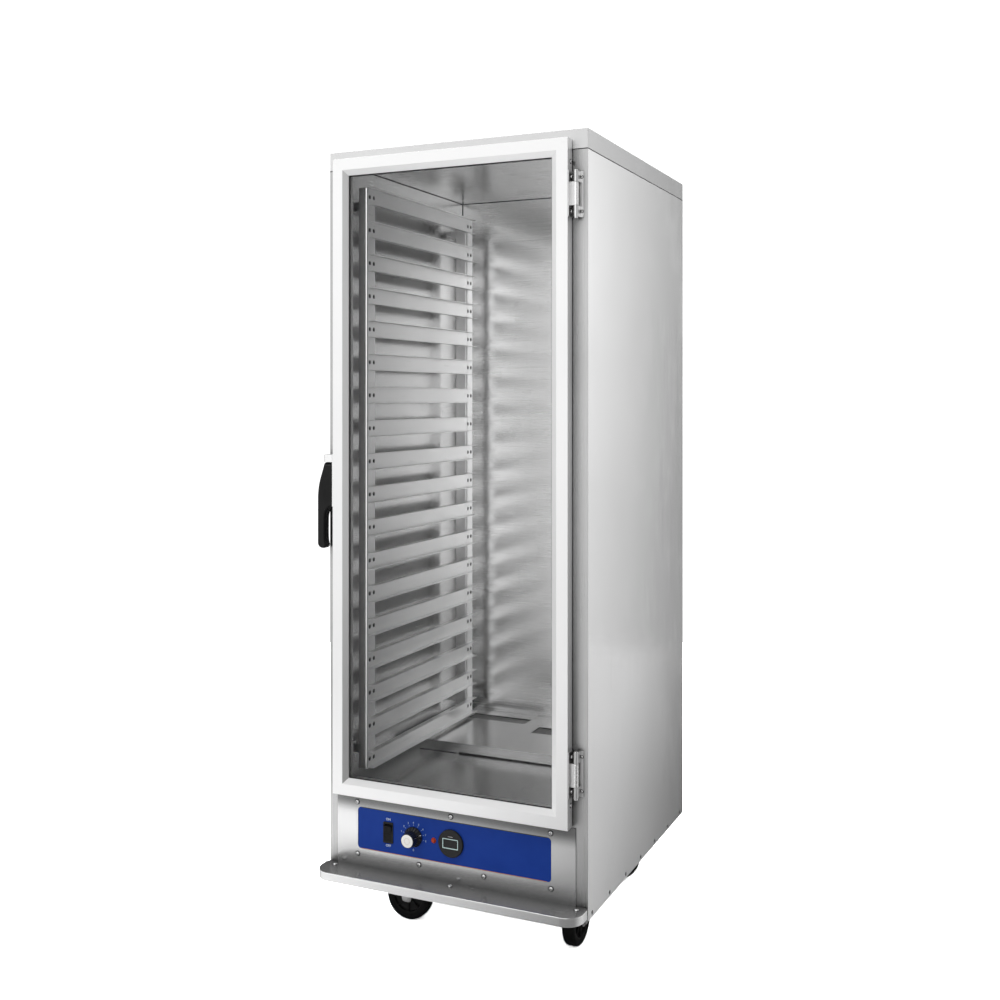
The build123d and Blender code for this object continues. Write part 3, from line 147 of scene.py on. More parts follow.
def brushed(name, dark, light, rough, lines, bump=0.03, spread=0.05, painted_shade=None):
    """Brushed sheet metal: fine lines along one axis, slow cloudy tone and faint smudges."""
    m, tree, shader = new_material(name)
    shader.inputs["Metallic"].default_value = 1.0
    fine = grain(tree, lines, 4.0)
    cloud = grain(tree, (2.2, 2.2, 2.2), 2.0)
    smudge = grain(tree, (11.0, 11.0, 7.0), 3.0)
    colour = mix_colour(tree, cloud, dark, light)
    # Optional painted shade where other surfaces stand close in front.
    if painted_shade:
        colour = painted_occlusion_shade(tree, colour, *painted_shade)
    tree.links.new(colour, shader.inputs["Base Color"])
    total = add(tree, "ShaderNodeMath", operation="ADD")
    tree.links.new(ramp_range(tree, fine, rough - spread, rough + spread), total.inputs[0])
    tree.links.new(ramp_range(tree, smudge, 0.0, 0.04, 0.5, 0.75), total.inputs[1])
    tree.links.new(total.outputs["Value"], shader.inputs["Roughness"])
    add_bump(tree, shader, fine, bump, 0.0004, 0.7 * MM)
    return m


def cast(name, dark, light, rough, size, bump=0.2, metal=0.0, distance=0.0004, gloss=0.5,
         painted_shade=None):
    """Moulded or cast material: even speckle in colour, roughness and bump."""
    m, tree, shader = new_material(name)
    shader.inputs["Metallic"].default_value = metal
    shader.inputs["Specular IOR Level"].default_value = gloss
    speck = grain(tree, (size, size, size), 3.0)
    cloud = grain(tree, (14, 14, 14), 3.0)
    colour = mix_colour(tree, cloud, dark, light)
    # Optional painted shade where other surfaces stand close in front.
    if painted_shade:
        colour = painted_occlusion_shade(tree, colour, *painted_shade)
    tree.links.new(colour, shader.inputs["Base Color"])
    tree.links.new(ramp_range(tree, speck, rough - 0.06, rough + 0.08), shader.inputs["Roughness"])
    add_bump(tree, shader, speck, bump, distance, 0.3 * MM)
    return m


def grey(value):
    """An even grey."""
    return (value, value, value)


def clear_glass():
    """Thin clear pane: nearly all see-through, with a faint smeared gloss."""
    m, tree, shader = new_material("door_glass")
    shader.inputs["Base Color"].default_value = (0.02, 0.024, 0.024, 1)
    shader.inputs["Alpha"].default_value = 0.06
    smear = grain(tree, (4.0, 4.0, 1.5), 4.0)
    tree.links.new(ramp_range(tree, smear, 0.02, 0.07), shader.inputs["Roughness"])
    return m


def brightness_ramp(tree, source, stops):
    """Grey levels along a 0 to 1 value."""
    ramp = add(tree, "ShaderNodeValToRGB")
    while len(ramp.color_ramp.elements) < len(stops):
        ramp.color_ramp.elements.new(0.5)
    for element, (position, level) in zip(ramp.color_ramp.elements, stops):
        element.position = position
        element.color = (level, level, level, 1)
    ramp.color_ramp.interpolation = "EASE"
    tree.links.new(source, ramp.inputs["Fac"])
    return ramp.outputs["Color"]


def dim_colour(m, level):
    """Multiply a material's colour by a grey level."""
    tree = m.node_tree
    base = tree.nodes["Principled BSDF"].inputs["Base Color"]
    tree.links.new(multiplied(tree, base.links[0].from_socket, level), base)


def paint_shade_by_height(m, low, high, level):
    """Paint shade into a material's colour: dim it to a level between two heights, in metres."""
    height = axes_of(m.node_tree, "Object")["Z"]
    dim_colour(m, ramp_range(m.node_tree, height, 1.0, level, low, high, "SMOOTHSTEP"))


def paint_shade_by_facing(m, axis, stops):
    """Paint shade into a material's colour by how far its surface faces along an axis."""
    facing = axes_of(m.node_tree, "Normal")[axis]
    dim_colour(m, brightness_ramp(m.node_tree, facing, stops))


def door_metal():
    """Satin anodised aluminium; the bevel that faces the hinge side is painted a darker tone, painted shade for
    its darker reflection.
    """
    m, tree, shader = new_material("door_aluminium")
    shader.inputs["Metallic"].default_value = 0.6
    fine = grain(tree, UP, 4.0)
    cloud = grain(tree, (2.2, 2.2, 2.2), 2.0)
    tree.links.new(mix_colour(tree, cloud, grey(0.89), grey(0.92)), shader.inputs["Base Color"])
    # Painted shade: surfaces facing +X are dimmed, most of all the bevel.
    paint_shade_by_facing(m, "X", [(0.1, 1.0), (0.35, 0.5), (0.6, 0.5), (0.9, 0.88)])
    tree.links.new(ramp_range(tree, fine, 0.3, 0.38), shader.inputs["Roughness"])
    add_bump(tree, shader, fine, 0.015, 0.0004, 0.5 * MM)
    return m


def worn_rubber(name, dark, dust, rough):
    """Black rubber with a little pale dust and fine scuffs."""
    m, tree, shader = new_material(name)
    shader.inputs["Specular IOR Level"].default_value = 0.1
    speck = grain(tree, (420.0, 420.0, 420.0), 4.0)
    patch = grain(tree, (38.0, 38.0, 38.0), 5.0)
    tree.links.new(mix_colour(tree, patch, dark, dust, 0.52, 0.78), shader.inputs["Base Color"])
    tree.links.new(ramp_range(tree, patch, rough - 0.08, rough + 0.12), shader.inputs["Roughness"])
    add_bump(tree, shader, speck, 0.25, 0.0003)
    return m


# ---- materials ---------------------------------------------------------------------
# Brushed lines run along the small number of each scale.
UP = (900.0, 900.0, 6.0)
ACROSS = (6.0, 900.0, 900.0)
BACKWARD = (500.0, 8.0, 500.0)
TURNED = (300.0, 300.0, 20.0)

# Painted shade: how near a surface must stand to shade another, the darkest level the colour is painted down to,
# and the range it fades over.
CASE_PAINTED_SHADE = (0.07, 0.22, 0.45, 0.95)
POST_PAINTED_SHADE = (0.07, 0.30, 0.45, 0.95)
BUMPER_PAINTED_SHADE = (0.06, 0.30, 0.45, 0.95)
PANEL_PAINTED_SHADE = (0.09, 0.48, 0.62, 0.95)
SCREW_PAINTED_SHADE = (0.002, 0.02, 0.45, 0.95)

# The case steel, bumper and fastener colours carry painted shade where other surfaces stand close.
MATERIALS = {
    "stainless_panel": brushed("panel_steel", grey(0.78), grey(0.82), 0.18, UP, 0.015, painted_shade=CASE_PAINTED_SHADE),
    "liner_sheet": brushed("liner_steel", grey(0.97), grey(0.99), 0.24, ACROSS, 0.02),
    "rack_metal": brushed("rack_metal", grey(0.84), grey(0.88), 0.32, BACKWARD, 0.03),
    "door_aluminium": door_metal(),
    "bead_aluminium": brushed("bead_aluminium", grey(0.55), grey(0.62), 0.4, UP),
    "bumper_metal": brushed("bumper_metal", grey(0.76), grey(0.80), 0.24, ACROSS, 0.008, 0.02,
                            BUMPER_PAINTED_SHADE),
    "chrome_trim": cast("chrome_trim", grey(0.88), grey(0.94), 0.26, 260.0, 0.03, 1.0),
    "fastener": cast("fastener", grey(0.90), grey(0.97), 0.24, 900.0, 0.1, 1.0, painted_shade=SCREW_PAINTED_SHADE),
    "zinc_metal": cast("zinc_plate", grey(0.60), grey(0.74), 0.32, 320.0, 0.12, 1.0),
    "gauge_metal": cast("gauge_black", grey(0.010), grey(0.016), 0.38, 700.0, 0.06, gloss=0.3),
    "black_plastic": cast("black_plastic", grey(0.006), grey(0.012), 0.42, 1500.0, 0.12, gloss=0.25),
    "lever_plastic": cast("lever_plastic", grey(0.006), grey(0.011), 0.4, 1300.0, 0.12, gloss=0.18),
    "rocker_plastic": cast("rocker_plastic", grey(0.006), grey(0.010), 0.38, 900.0, 0.05, gloss=0.15),
    "knob_plastic": cast("knob_plastic", (0.94, 0.92, 0.86), (0.98, 0.96, 0.92), 0.3, 900.0, 0.05),
    "lamp_lens": cast("lamp_lens", (0.40, 0.035, 0.006), (0.48, 0.05, 0.008), 0.22, 500.0, 0.05, gloss=0.3),
    "label_film": cast("label_film", (0.006, 0.042, 0.29), (0.008, 0.048, 0.32), 0.5, 1400.0, 0.03,
                       gloss=0.15),
    "gasket_rubber": cast("gasket_rubber", grey(0.012), grey(0.022), 0.6, 700.0, 0.2),
    "tyre_rubber": worn_rubber("tyre_rubber", grey(0.005), grey(0.014), 0.55),
    "insulation": cast("glass_wool", (0.62, 0.5, 0.24), (0.78, 0.66, 0.36), 0.9, 160.0, 0.8, 0.0, 0.003),
    "element_sheath": cast("element_sheath", (0.20, 0.18, 0.16), (0.30, 0.27, 0.24), 0.5, 300.0, 0.2, 0.8),
    "motor_metal": cast("motor_enamel", grey(0.02), grey(0.035), 0.42, 500.0, 0.15, 0.2),
    "rotor_metal": brushed("rotor_metal", grey(0.5), grey(0.6), 0.4, TURNED),
    "door_glass": clear_glass(),
}
# Painted shade: the bumper's flat top is painted darker than its lip.
paint_shade_by_facing(MATERIALS["bumper_metal"], "Z", [(0.5, 1.0), (0.9, 0.48)])

# Steel of single CAD nodes that differs from the rest of their slot. The darker post, liner wall and liner floor
# steels are shaded copies of the case and liner steel: painted shade.
SIDE_STEEL = brushed("cap_steel", grey(0.78), grey(0.82), 0.18, UP, 0.015)
CAP_STEEL = brushed("top_steel", grey(0.63), grey(0.67), 0.18, UP, 0.015)
BACK_STEEL = brushed("back_steel", grey(0.80), grey(0.84), 0.24, UP, 0.015)
SHADED_POST_STEEL = brushed("post_steel", grey(0.54), grey(0.60), 0.3, UP, painted_shade=POST_PAINTED_SHADE)
PANEL_STEEL = brushed("control_steel", grey(0.79), grey(0.83), 0.2, UP, 0.01, 0.03, PANEL_PAINTED_SHADE)
SHADED_WALL_STEEL = brushed("wall_steel", grey(0.66), grey(0.72), 0.22, BACKWARD, 0.02)
SHADED_FLOOR_STEEL = brushed("floor_steel", grey(0.44), grey(0.50), 0.22, BACKWARD, 0.02)
COVER_STEEL = brushed("cover_steel", grey(0.78), grey(0.83), 0.22, BACKWARD, 0.02)
LEAF_STEEL = brushed("leaf_steel", grey(0.62), grey(0.70), 0.32, UP, 0.02)
for satin in (BACK_STEEL, CAP_STEEL):
    satin.node_tree.nodes["Principled BSDF"].inputs["Metallic"].default_value = 0.5
# Painted shadow: the control panel's colour darkens towards its top edge, close under the door where the door's
# shadow falls, between two heights.
PANEL_SHADOW_HEIGHTS = (0.282, 0.318)
paint_shade_by_height(PANEL_STEEL, *PANEL_SHADOW_HEIGHTS, 0.3)

# Materials of the small pieces made below.
RIVET_METAL = cast("rivet_metal", grey(0.10), grey(0.16), 0.34, 900.0, 0.08, 0.9)
# Grey wire mesh for the slot guards, also a grey strip of painted shade in the heater outlet.
SLOT_MESH_AND_SHADE = cast("slot_mesh", grey(0.30), grey(0.38), 0.35, 900.0, 0.3, 1.0)
# A brighter copy of the rack metal: painted highlight on the rolled bends of the rack posts.
BEND_PAINTED_HIGHLIGHT = brushed("bend_shine", grey(0.97), grey(1.0), 0.3, UP, 0.01)
# Black sealant for the pane seal and the joint lines, also painted shade round screw heads and painted shadow
# under the heater cover's feet.
SEAL_AND_PAINTED_SHADE = cast("seam_sealant", grey(0.010), grey(0.02), 0.55, 500.0, 0.1)
HUB_PLASTIC = cast("hub_plastic", grey(0.006), grey(0.010), 0.45, 700.0, 0.15, gloss=0.15)
KNOB_BLACK = cast("knob_black", grey(0.008), grey(0.016), 0.30, 1200.0, 0.08)
KNOB_RING = cast("knob_ring", (0.60, 0.50, 0.34), (0.70, 0.60, 0.44), 0.35, 900.0, 0.05)
WINDOW_INK = cast("window_ink", (0.55, 0.74, 0.72), (0.66, 0.84, 0.82), 0.4, 900.0, 0.03)
WINDOW_PANE = cast("window_pane", (0.010, 0.014, 0.014), (0.018, 0.024, 0.022), 0.12, 60.0, 0.02)
SCALE_INK = cast("scale_ink", grey(0.12), grey(0.18), 0.5, 900.0)
DASH_INK = cast("dash_ink", grey(0.42), grey(0.5), 0.5, 900.0)
MARK_INK = cast("mark_ink", (0.62, 0.70, 0.80), (0.72, 0.80, 0.88), 0.5, 900.0, 0.03)
DIAL_INK = cast("dial_ink", (0.34, 0.46, 0.66), (0.42, 0.54, 0.74), 0.5, 900.0, 0.03)
TRIM_OLIVE = cast("trim_olive", (0.035, 0.045, 0.012), (0.055, 0.065, 0.02), 0.5, 800.0, 0.05)
TRIM_ORANGE = cast("trim_orange", (0.50, 0.16, 0.03), (0.62, 0.22, 0.05), 0.5, 800.0, 0.05)

SPECIAL = {
    "top_cover": CAP_STEEL,
    "side_panel_left": SIDE_STEEL,
    "side_panel_right": SIDE_STEEL,
    "back_panel": BACK_STEEL,
    "rear_cover": BACK_STEEL,
    "control_panel": PANEL_STEEL,
    "front_post_left": SHADED_POST_STEEL,
    "front_post_right": SHADED_POST_STEEL,
    "liner_left": SHADED_WALL_STEEL,
    "liner_right": SHADED_WALL_STEEL,
    "liner_floor": SHADED_FLOOR_STEEL,
    "heater_cover": COVER_STEEL,
    "hinge_frame_leaves": LEAF_STEEL,
    "hinge_door_leaves": LEAF_STEEL,
}
SLOT_OF = {part["node"]: part["material_slot"] for part in frame["record"]["subparts"]}
for node_name, node in NODES.items():
    material = SPECIAL.get(node_name, MATERIALS[SLOT_OF[node_name]])
    if not node.data.materials:
        node.data.materials.append(material)
    for index in range(len(node.material_slots)):
        node.material_slots[index].material = material


# ---- mesh helpers ------------------------------------------------------------------
TO_BACK = Matrix.Rotation(-math.pi / 2, 4, "X")


def piece(name, bm, material, body, replaced=(), sharp=35.0):
    """Turn a bmesh into a piece that rides on a body, smooth but for its sharp edges."""
    bmesh.ops.recalc_face_normals(bm, faces=bm.faces)
    mesh = bpy.data.meshes.new(name)
    bm.to_mesh(mesh)
    bm.free()
    mesh.materials.append(material)
    for face in mesh.polygons:
        face.use_smooth = True
    mesh.set_sharp_from_angle(angle=math.radians(sharp))
    made = bpy.data.objects.new(name, mesh)
    bpy.context.scene.collection.objects.link(made)
    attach(made, body)
    if replaced:
        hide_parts(*replaced)
    return made


def merge(target, source, matrix):
    """Add a copy of one bmesh to another, moved by a matrix."""
    scrap = bpy.data.meshes.new("scrap")
    source.to_mesh(scrap)
    scrap.transform(matrix)
    target.from_mesh(scrap)
    bpy.data.meshes.remove(scrap)


def absorb(target, part, matrix=Matrix.Identity(4)):
    """Move one bmesh into another, placed by a matrix."""
    merge(target, part, matrix)
    part.free()


def aim(origin, axis, scale=1.0):
    """The matrix that carries local +Z to an axis and the local origin to a point."""
    turn = Vector(axis).to_track_quat("Z", "Y").to_matrix().to_4x4()
    return Matrix.Translation(origin) @ turn @ Matrix.Scale(scale, 4)


def lathe(profile, sides=32, loop=False, wave=None):
    """Turn (radius, height) points round Z; wave(row, angle) scales a point's radius."""
    bm = bmesh.new()
    rings = []
    for row, (radius, height) in enumerate(profile):
        if radius < 1e-9:
            rings.append([bm.verts.new((0, 0, height))])
            continue
        ring = []
        for i in range(sides):
            angle = math.tau * i / sides
            reach = radius * (wave(row, angle) if wave else 1.0)
            ring.append(bm.verts.new((reach * math.cos(angle), reach * math.sin(angle), height)))
        rings.append(ring)
    pairs = list(zip(rings, rings[1:]))
    if loop:
        pairs.append((rings[-1], rings[0]))
    for low, high in pairs:
        for i in range(sides):
            j = i + 1
            quad = [low[i % len(low)], low[j % len(low)], high[j % len(high)], high[i % len(high)]]
            unique = list(dict.fromkeys(quad))
            if len(unique) > 2:
                bm.faces.new(unique)
    return bm


def box_mesh(low, high, bevel=0.0):
    """A block between two corners, with rounded edges."""
    bm = bmesh.new()
    size = Vector(high) - Vector(low)
    middle = (Vector(high) + Vector(low)) / 2
    bmesh.ops.create_cube(bm, size=1.0, matrix=Matrix.Translation(middle) @ Matrix.Diagonal((*size, 1)))
    if bevel:
        bmesh.ops.bevel(bm, geom=bm.edges, offset=bevel, segments=2, affect="EDGES", profile=0.5)
    return bm


def plate_mesh(outline, low, high, bevel=0.0):
    """A flat plate: a closed outline of (x, z) points, between two heights along Y."""
    bm = bmesh.new()
    near = [bm.verts.new((x, low, z)) for x, z in outline]
    far = [bm.verts.new((x, high, z)) for x, z in outline]
    count = len(outline)
    caps = [bm.faces.new(near), bm.faces.new(far)]
    for i in range(count):
        j = (i + 1) % count
        bm.faces.new((near[i], near[j], far[j], far[i]))
    if bevel:
        rims = [edge for cap in caps for edge in cap.edges]
        bmesh.ops.bevel(bm, geom=rims, offset=bevel, segments=2, affect="EDGES", profile=0.5)
    return bm


def rounded(points, radius, steps=5):
    """Round the corners of a closed outline."""
    result = []
    count = len(points)
    for i, point in enumerate(points):
        here = Vector(point)
        before = Vector(points[i - 1]) - here
        after = Vector(points[(i + 1) % count]) - here
        reach = min(radius, before.length * 0.49, after.length * 0.49)
        start = here + before.normalized() * reach
        end = here + after.normalized() * reach
        for k in range(steps + 1):
            t = k / steps
            result.append(tuple((1 - t) ** 2 * start + 2 * t * (1 - t) * here + t * t * end))
    return result


def bridge_loop(bm, rows):
    """Join rows of points into a closed skin, the last row to the first."""
    for a, b in zip(rows, rows[1:] + rows[:1]):
        for i in range(len(a)):
            j = (i + 1) % len(a)
            bm.faces.new((a[i], a[j], b[j], b[i]))


def rect_ring(bm, x, z, profile):
    """Run a closed (inset, y) profile round the rectangle x by z, with mitred corners."""
    rows = []
    for inset, y in profile:
        left, right, low, high = x[0] + inset, x[1] - inset, z[0] + inset, z[1] - inset
        corner_points = [(left, y, low), (right, y, low), (right, y, high), (left, y, high)]
        rows.append([bm.verts.new(p) for p in corner_points])
    bridge_loop(bm, rows)


def lumps(node):
    """The separate solids of a CAD node, each a list of points."""
    bm = bmesh.new()
    bm.from_mesh(NODES[node].data)
    bmesh.ops.remove_doubles(bm, verts=bm.verts, dist=1e-6)
    found = []
    for seed in bm.verts:
        if seed.tag:
            continue
        seed.tag = True
        stack, points = [seed], []
        while stack:
            vert = stack.pop()
            points.append(vert.co.copy())
            for edge in vert.link_edges:
                other = edge.other_vert(vert)
                if not other.tag:
                    other.tag = True
                    stack.append(other)
        found.append(points)
    bm.free()
    return found


def span_of(points):
    """Lowest and highest corner of some points."""
    low = Vector(min(p[i] for p in points) for i in range(3))
    high = Vector(max(p[i] for p in points) for i in range(3))
    return low, high


def fastener_spots(node):
    """For each screw or rivet of a node: seat of its head, outward axis, radius, shank."""
    spots = []
    for points in lumps(node):
        low, high = span_of(points)
        size = high - low
        axis = min(range(3), key=lambda a: abs(size[(a + 1) % 3] - size[(a + 2) % 3]))
        middle = (low + high) / 2
        radius = max(size[i] for i in range(3) if i != axis) / 2

        def reach(point):
            flat = point - middle
            flat[axis] = 0
            return flat.length

        seat = [p[axis] for p in points if reach(p) > 0.95 * radius]
        seat = sum(seat) / len(seat)
        top = max(reach(p) for p in points if p[axis] > high[axis] - 1e-5)
        foot = max(reach(p) for p in points if p[axis] < low[axis] + 1e-5)
        upward = abs(top / radius - 0.62) < abs(foot / radius - 0.62)
        out = Vector((0, 0, 0))
        out[axis] = 1.0 if upward else -1.0
        spot = middle.copy()
        spot[axis] = seat
        shank = (seat - low[axis]) if upward else (high[axis] - seat)
        spots.append((spot, out, radius, shank))
    return spots


def cut(bm, cutter):
    """Subtract one closed bmesh from another."""
    pair = []
    for part in (bm, cutter):
        mesh = bpy.data.meshes.new("scrap")
        part.to_mesh(mesh)
        part.free()
        made = bpy.data.objects.new("scrap", mesh)
        bpy.context.scene.collection.objects.link(made)
        pair.append(made)
    modifier = pair[0].modifiers.new("cut", "BOOLEAN")
    modifier.operation = "DIFFERENCE"
    modifier.solver = "EXACT"
    modifier.object = pair[1]
    graph = bpy.context.evaluated_depsgraph_get()
    result = bmesh.new()
    result.from_mesh(pair[0].evaluated_get(graph).data)
    for made in pair:
        mesh = made.data
        bpy.data.objects.remove(made)
        bpy.data.meshes.remove(mesh)
    return result


def lettering(bm, words, spot, height):
    """Add generic lettering that faces -Y, centred on a point."""
    curve = bpy.data.curves.new("words", "FONT")
    curve.body = words
    curve.size = height
    curve.extrude = 0.08 * MM
    curve.offset = 0.016 * height
    curve.align_x = "CENTER"
    curve.align_y = "CENTER"
    made = bpy.data.objects.new("words", curve)
    bpy.context.scene.collection.objects.link(made)
    graph = bpy.context.evaluated_depsgraph_get()
    mesh = bpy.data.meshes.new_from_object(made.evaluated_get(graph))
    mesh.transform(Matrix.Translation(spot) @ Matrix.Rotation(math.radians(90), 4, "X"))
    bm.from_mesh(mesh)
    bpy.data.meshes.remove(mesh)
    bpy.data.objects.remove(made)
    bpy.data.curves.remove(curve)


# ---- fasteners ---------------------------------------------------------------------
def head_spin(index):
    """A different, repeatable angle for each screw."""
    return Matrix.Rotation(2.4 * index + 0.4, 4, "Z")


def screw_head():
    """A pan head of unit radius with a cross recess, its seat at z = 0."""
    bm = lathe([(0, -0.1), (0.98, -0.1), (1, 0.2), (0.95, 0.36), (0.82, 0.5), (0.55, 0.6), (0, 0.64)], 28)
    for turn in (0, 90):
        arm = box_mesh((-0.62, -0.17, 0.2), (0.62, 0.17, 1.0))
        arm.transform(Matrix.Rotation(math.radians(turn), 4, "Z"))
        bm = cut(bm, arm)
    return bm


def fasten(name, node, body, prototype, material=MATERIALS["fastener"]):
    """Put a finely shaped head and a shank in place of each screw or rivet, with a dark ring of painted shade
    round its seat.
    """
    bm, painted_shade_rings = bmesh.new(), bmesh.new()
    for index, (spot, out, radius, shank) in enumerate(fastener_spots(node)):
        place = aim(spot, out, radius)
        merge(bm, prototype, place @ head_spin(index))
        # Painted shade: a dark ring round each head's seat.
        absorb(painted_shade_rings, lathe([(0.97, -0.01), (1.42, -0.01), (1.38, 0.03), (0.97, 0.06)], 24, True), place)
        if shank > 0.5 * MM:
            tip = -shank / radius
            absorb(bm, lathe([(0, tip), (0.4, tip), (0.5, tip + 0.1), (0.5, -0.05), (0, -0.05)], 12), place)
    piece(f"{name}_seats", painted_shade_rings, SEAL_AND_PAINTED_SHADE, body)
    piece(name, bm, material, body, [node])


pan_head = screw_head()
fasten("case_screw_heads", "case_screws", "cabinet", pan_head)
fasten("door_screw_heads", "door_screws", "door", pan_head)
pan_head.free()
dome = lathe(
    [(0, -0.1), (1, -0.1), (1, 0.06), (0.9, 0.2), (0.7, 0.33), (0.42, 0.42), (0.16, 0.45), (0, 0.45)], 24
)
fasten("rivet_heads", "rivets", "cabinet", dome, RIVET_METAL)
dome.free()


# ---- control panel -----------------------------------------------------------------
def knob_flutes(row, angle):
    """Eighteen grip flutes on the knob's barrel, none on its skirt or front."""
    if not 4 <= row <= 7:
        return 1.0
    return 1.0 - 0.075 * (0.5 + 0.5 * math.cos(18 * angle)) ** 2


knob_low, knob_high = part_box("thermostat_knob")
knob_centre = (knob_low + knob_high) / 2
KNOB_AT = Vector((knob_centre.x, knob_high.y, knob_centre.z))
KNOB_PLACE = aim(KNOB_AT, (0, -1, 0), MM)
KNOB_POINTER = math.radians(70)
KNOB_FRONT = 28.7
KNOB_PROFILE = [
    (0, 4), (6.6, 4), (6.6, 0), (22.4, 0), (22.4, 2.8), (18.2, 7.6), (16.4, 10), (15.9, 25.5), (15.4, 28),
    (14.4, 28.5), (0, 28.5),
]
CAP_PROFILE = [
    (0, 27), (14.2, 27), (14.2, 28.6), (13.7, 28.95), (9.8, 29.0), (9.6, 28.85), (9.2, 28.85), (9.0, 29.0),
    (0, 29),
]


def knob_surface(radius):
    """How far the knob's front, shoulder and skirt stand out at a radius, for the pointer."""
    if radius < 14:
        return KNOB_FRONT
    if radius < 16.4:
        return 27.0 - (radius - 14) * 7
    return max(3.5, 10.4 - (radius - 16.4) * 1.4)


barrel = lathe(KNOB_PROFILE, 180, wave=knob_flutes)
barrel.transform(KNOB_PLACE)
piece("knob_barrel", barrel, KNOB_BLACK, "thermostat_knob_body", ["thermostat_knob"], 30)
cap = lathe(CAP_PROFILE, 72)
cap.transform(KNOB_PLACE)
piece("knob_cap", cap, MATERIALS["knob_plastic"], "thermostat_knob_body", (), 30)
ring = lathe([(6.2, 28.6), (6.8, 28.6), (6.8, 29.0), (6.2, 29.0)], 72, True)
ring.transform(KNOB_PLACE)
piece("knob_ring", ring, KNOB_RING, "thermostat_knob_body")
pointer = plate_mesh([(-0.8, 12.6), (0.8, 12.6), (0.8, 22.3), (-0.8, 22.3)], -1, 0)
for vert in pointer.verts:
    depth = KNOB_FRONT if vert.co.z < 15 else 3.6
    vert.co.y = -depth if vert.co.y > -0.5 else -depth + 3.4
lengthways = [edge for edge in pointer.edges if abs(edge.verts[0].co.z - edge.verts[1].co.z) > 5]
bmesh.ops.subdivide_edges(pointer, edges=lengthways, cuts=3)
for vert in pointer.verts:
    surface = knob_surface(vert.co.z)
    vert.co.y = -surface if vert.co.y < -surface + 1.7 else -surface + 2.0
pointer.transform(Matrix.Translation(KNOB_AT) @ Matrix.Rotation(KNOB_POINTER, 4, "Y") @ Matrix.Scale(MM, 4))
piece("knob_pointer", pointer, MATERIALS["knob_plastic"], "thermostat_knob_body")

label_low, label_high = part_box("control_label")
LABEL_Y = label_low.y - 0.06 * MM
FIRST_TICK, TICK_STEP = -75, 25
marks = bmesh.new()
for index in range(8):
    angle = math.radians(FIRST_TICK + TICK_STEP * index)
    heading = Vector((math.sin(angle), 0, math.cos(angle)))
    tick = plate_mesh([(-0.32, 0), (0.32, 0), (0.32, 3.4), (-0.32, 3.4)], -0.1, 0.1)
    start = Vector((KNOB_AT.x, label_low.y, KNOB_AT.z)) + heading * 24.4 * MM
    absorb(marks, tick, Matrix.Translation(start) @ Matrix.Rotation(angle, 4, "Y") @ Matrix.Scale(MM, 4))
    digit_at = Vector((KNOB_AT.x, LABEL_Y, KNOB_AT.z)) + heading * 31.4 * MM
    lettering(marks, str(index + 1), digit_at, 6.2 * MM)
lettering(marks, "0", Vector((KNOB_AT.x, LABEL_Y, KNOB_AT.z - 29.5 * MM)), 7.0 * MM)
piece("dial_marks", marks, DIAL_INK, "cabinet")
words = bmesh.new()
switch_low, switch_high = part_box("switch_housing")
switch_x = (switch_low.x + switch_high.x) / 2
lettering(words, "ON", Vector((switch_x, LABEL_Y, switch_high.z + 6.0 * MM)), 7.4 * MM)
lettering(words, "OFF", Vector((switch_x, LABEL_Y, switch_low.z - 6.0 * MM)), 7.4 * MM)
piece("switch_words", words, MARK_INK, "cabinet")

TRIM_END = 9 * MM


def label_trim(name, x, z, material):
    """A thin printed line along one edge of the label, between two x and two z."""
    near, far = label_low.y - 0.12 * MM, label_low.y + 0.2 * MM
    strip = box_mesh((x[0], near, z[0]), (x[1], far, z[1]), 0.08 * MM)
    piece(name, strip, material, "cabinet")


trim_x = (label_low.x + TRIM_END, label_high.x - TRIM_END)
trim_z = (label_low.z + TRIM_END, label_high.z - TRIM_END)
label_trim("label_trim_top", trim_x, (label_high.z - 0.9 * MM, label_high.z + 0.3 * MM), TRIM_OLIVE)
label_trim("label_trim_bottom", trim_x, (label_low.z - 0.3 * MM, label_low.z + 0.9 * MM), TRIM_ORANGE)
label_trim("label_trim_left", (label_low.x - 0.3 * MM, label_low.x + 0.7 * MM), trim_z, TRIM_OLIVE)

gauge_low, gauge_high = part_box("thermometer")
GAUGE_AT = Vector(((gauge_low.x + gauge_high.x) / 2, gauge_low.y, (gauge_low.z + gauge_high.z) / 2))
gauge_place = Matrix.Translation(GAUGE_AT) @ Matrix.Scale(MM, 4)


def window_outline(width, height, radius):
    """A rectangle with rounded corners, centred on the origin."""
    x, z = width / 2, height / 2
    return rounded([(-x, -z), (x, -z), (x, z), (-x, z)], radius)


window_frame = bmesh.new()
outer, inner = window_outline(38.0, 22.0, 1.6), window_outline(34.8, 18.8, 0.6)
rows = []
for outline, depth in ((outer, 0.6), (outer, -0.5), (inner, -0.5), (inner, 1.6)):
    rows.append([window_frame.verts.new((x, depth, z)) for x, z in outline])
bridge_loop(window_frame, rows)
window_frame.transform(gauge_place)
piece("gauge_window_frame", window_frame, WINDOW_INK, "cabinet")
pane = plate_mesh(window_outline(35.6, 19.6, 0.5), 1.3, 2.3, 0.1)
pane.transform(gauge_place)
piece("gauge_window_pane", pane, WINDOW_PANE, "cabinet")
scale_marks = bmesh.new()
for index in range(13):
    x = 2.2 * (index - 6)
    top, foot = 5.6, 5.6 - (3.4 if index % 3 == 0 else 1.9)
    outline = [(x - 0.16, foot), (x + 0.16, foot), (x + 0.16, top), (x - 0.16, top)]
    absorb(scale_marks, plate_mesh(outline, 1.22, 1.4), gauge_place)
piece("gauge_scale", scale_marks, SCALE_INK, "cabinet")
dash = plate_mesh(window_outline(12.0, 1.2, 0.4), -0.12, 0.1)
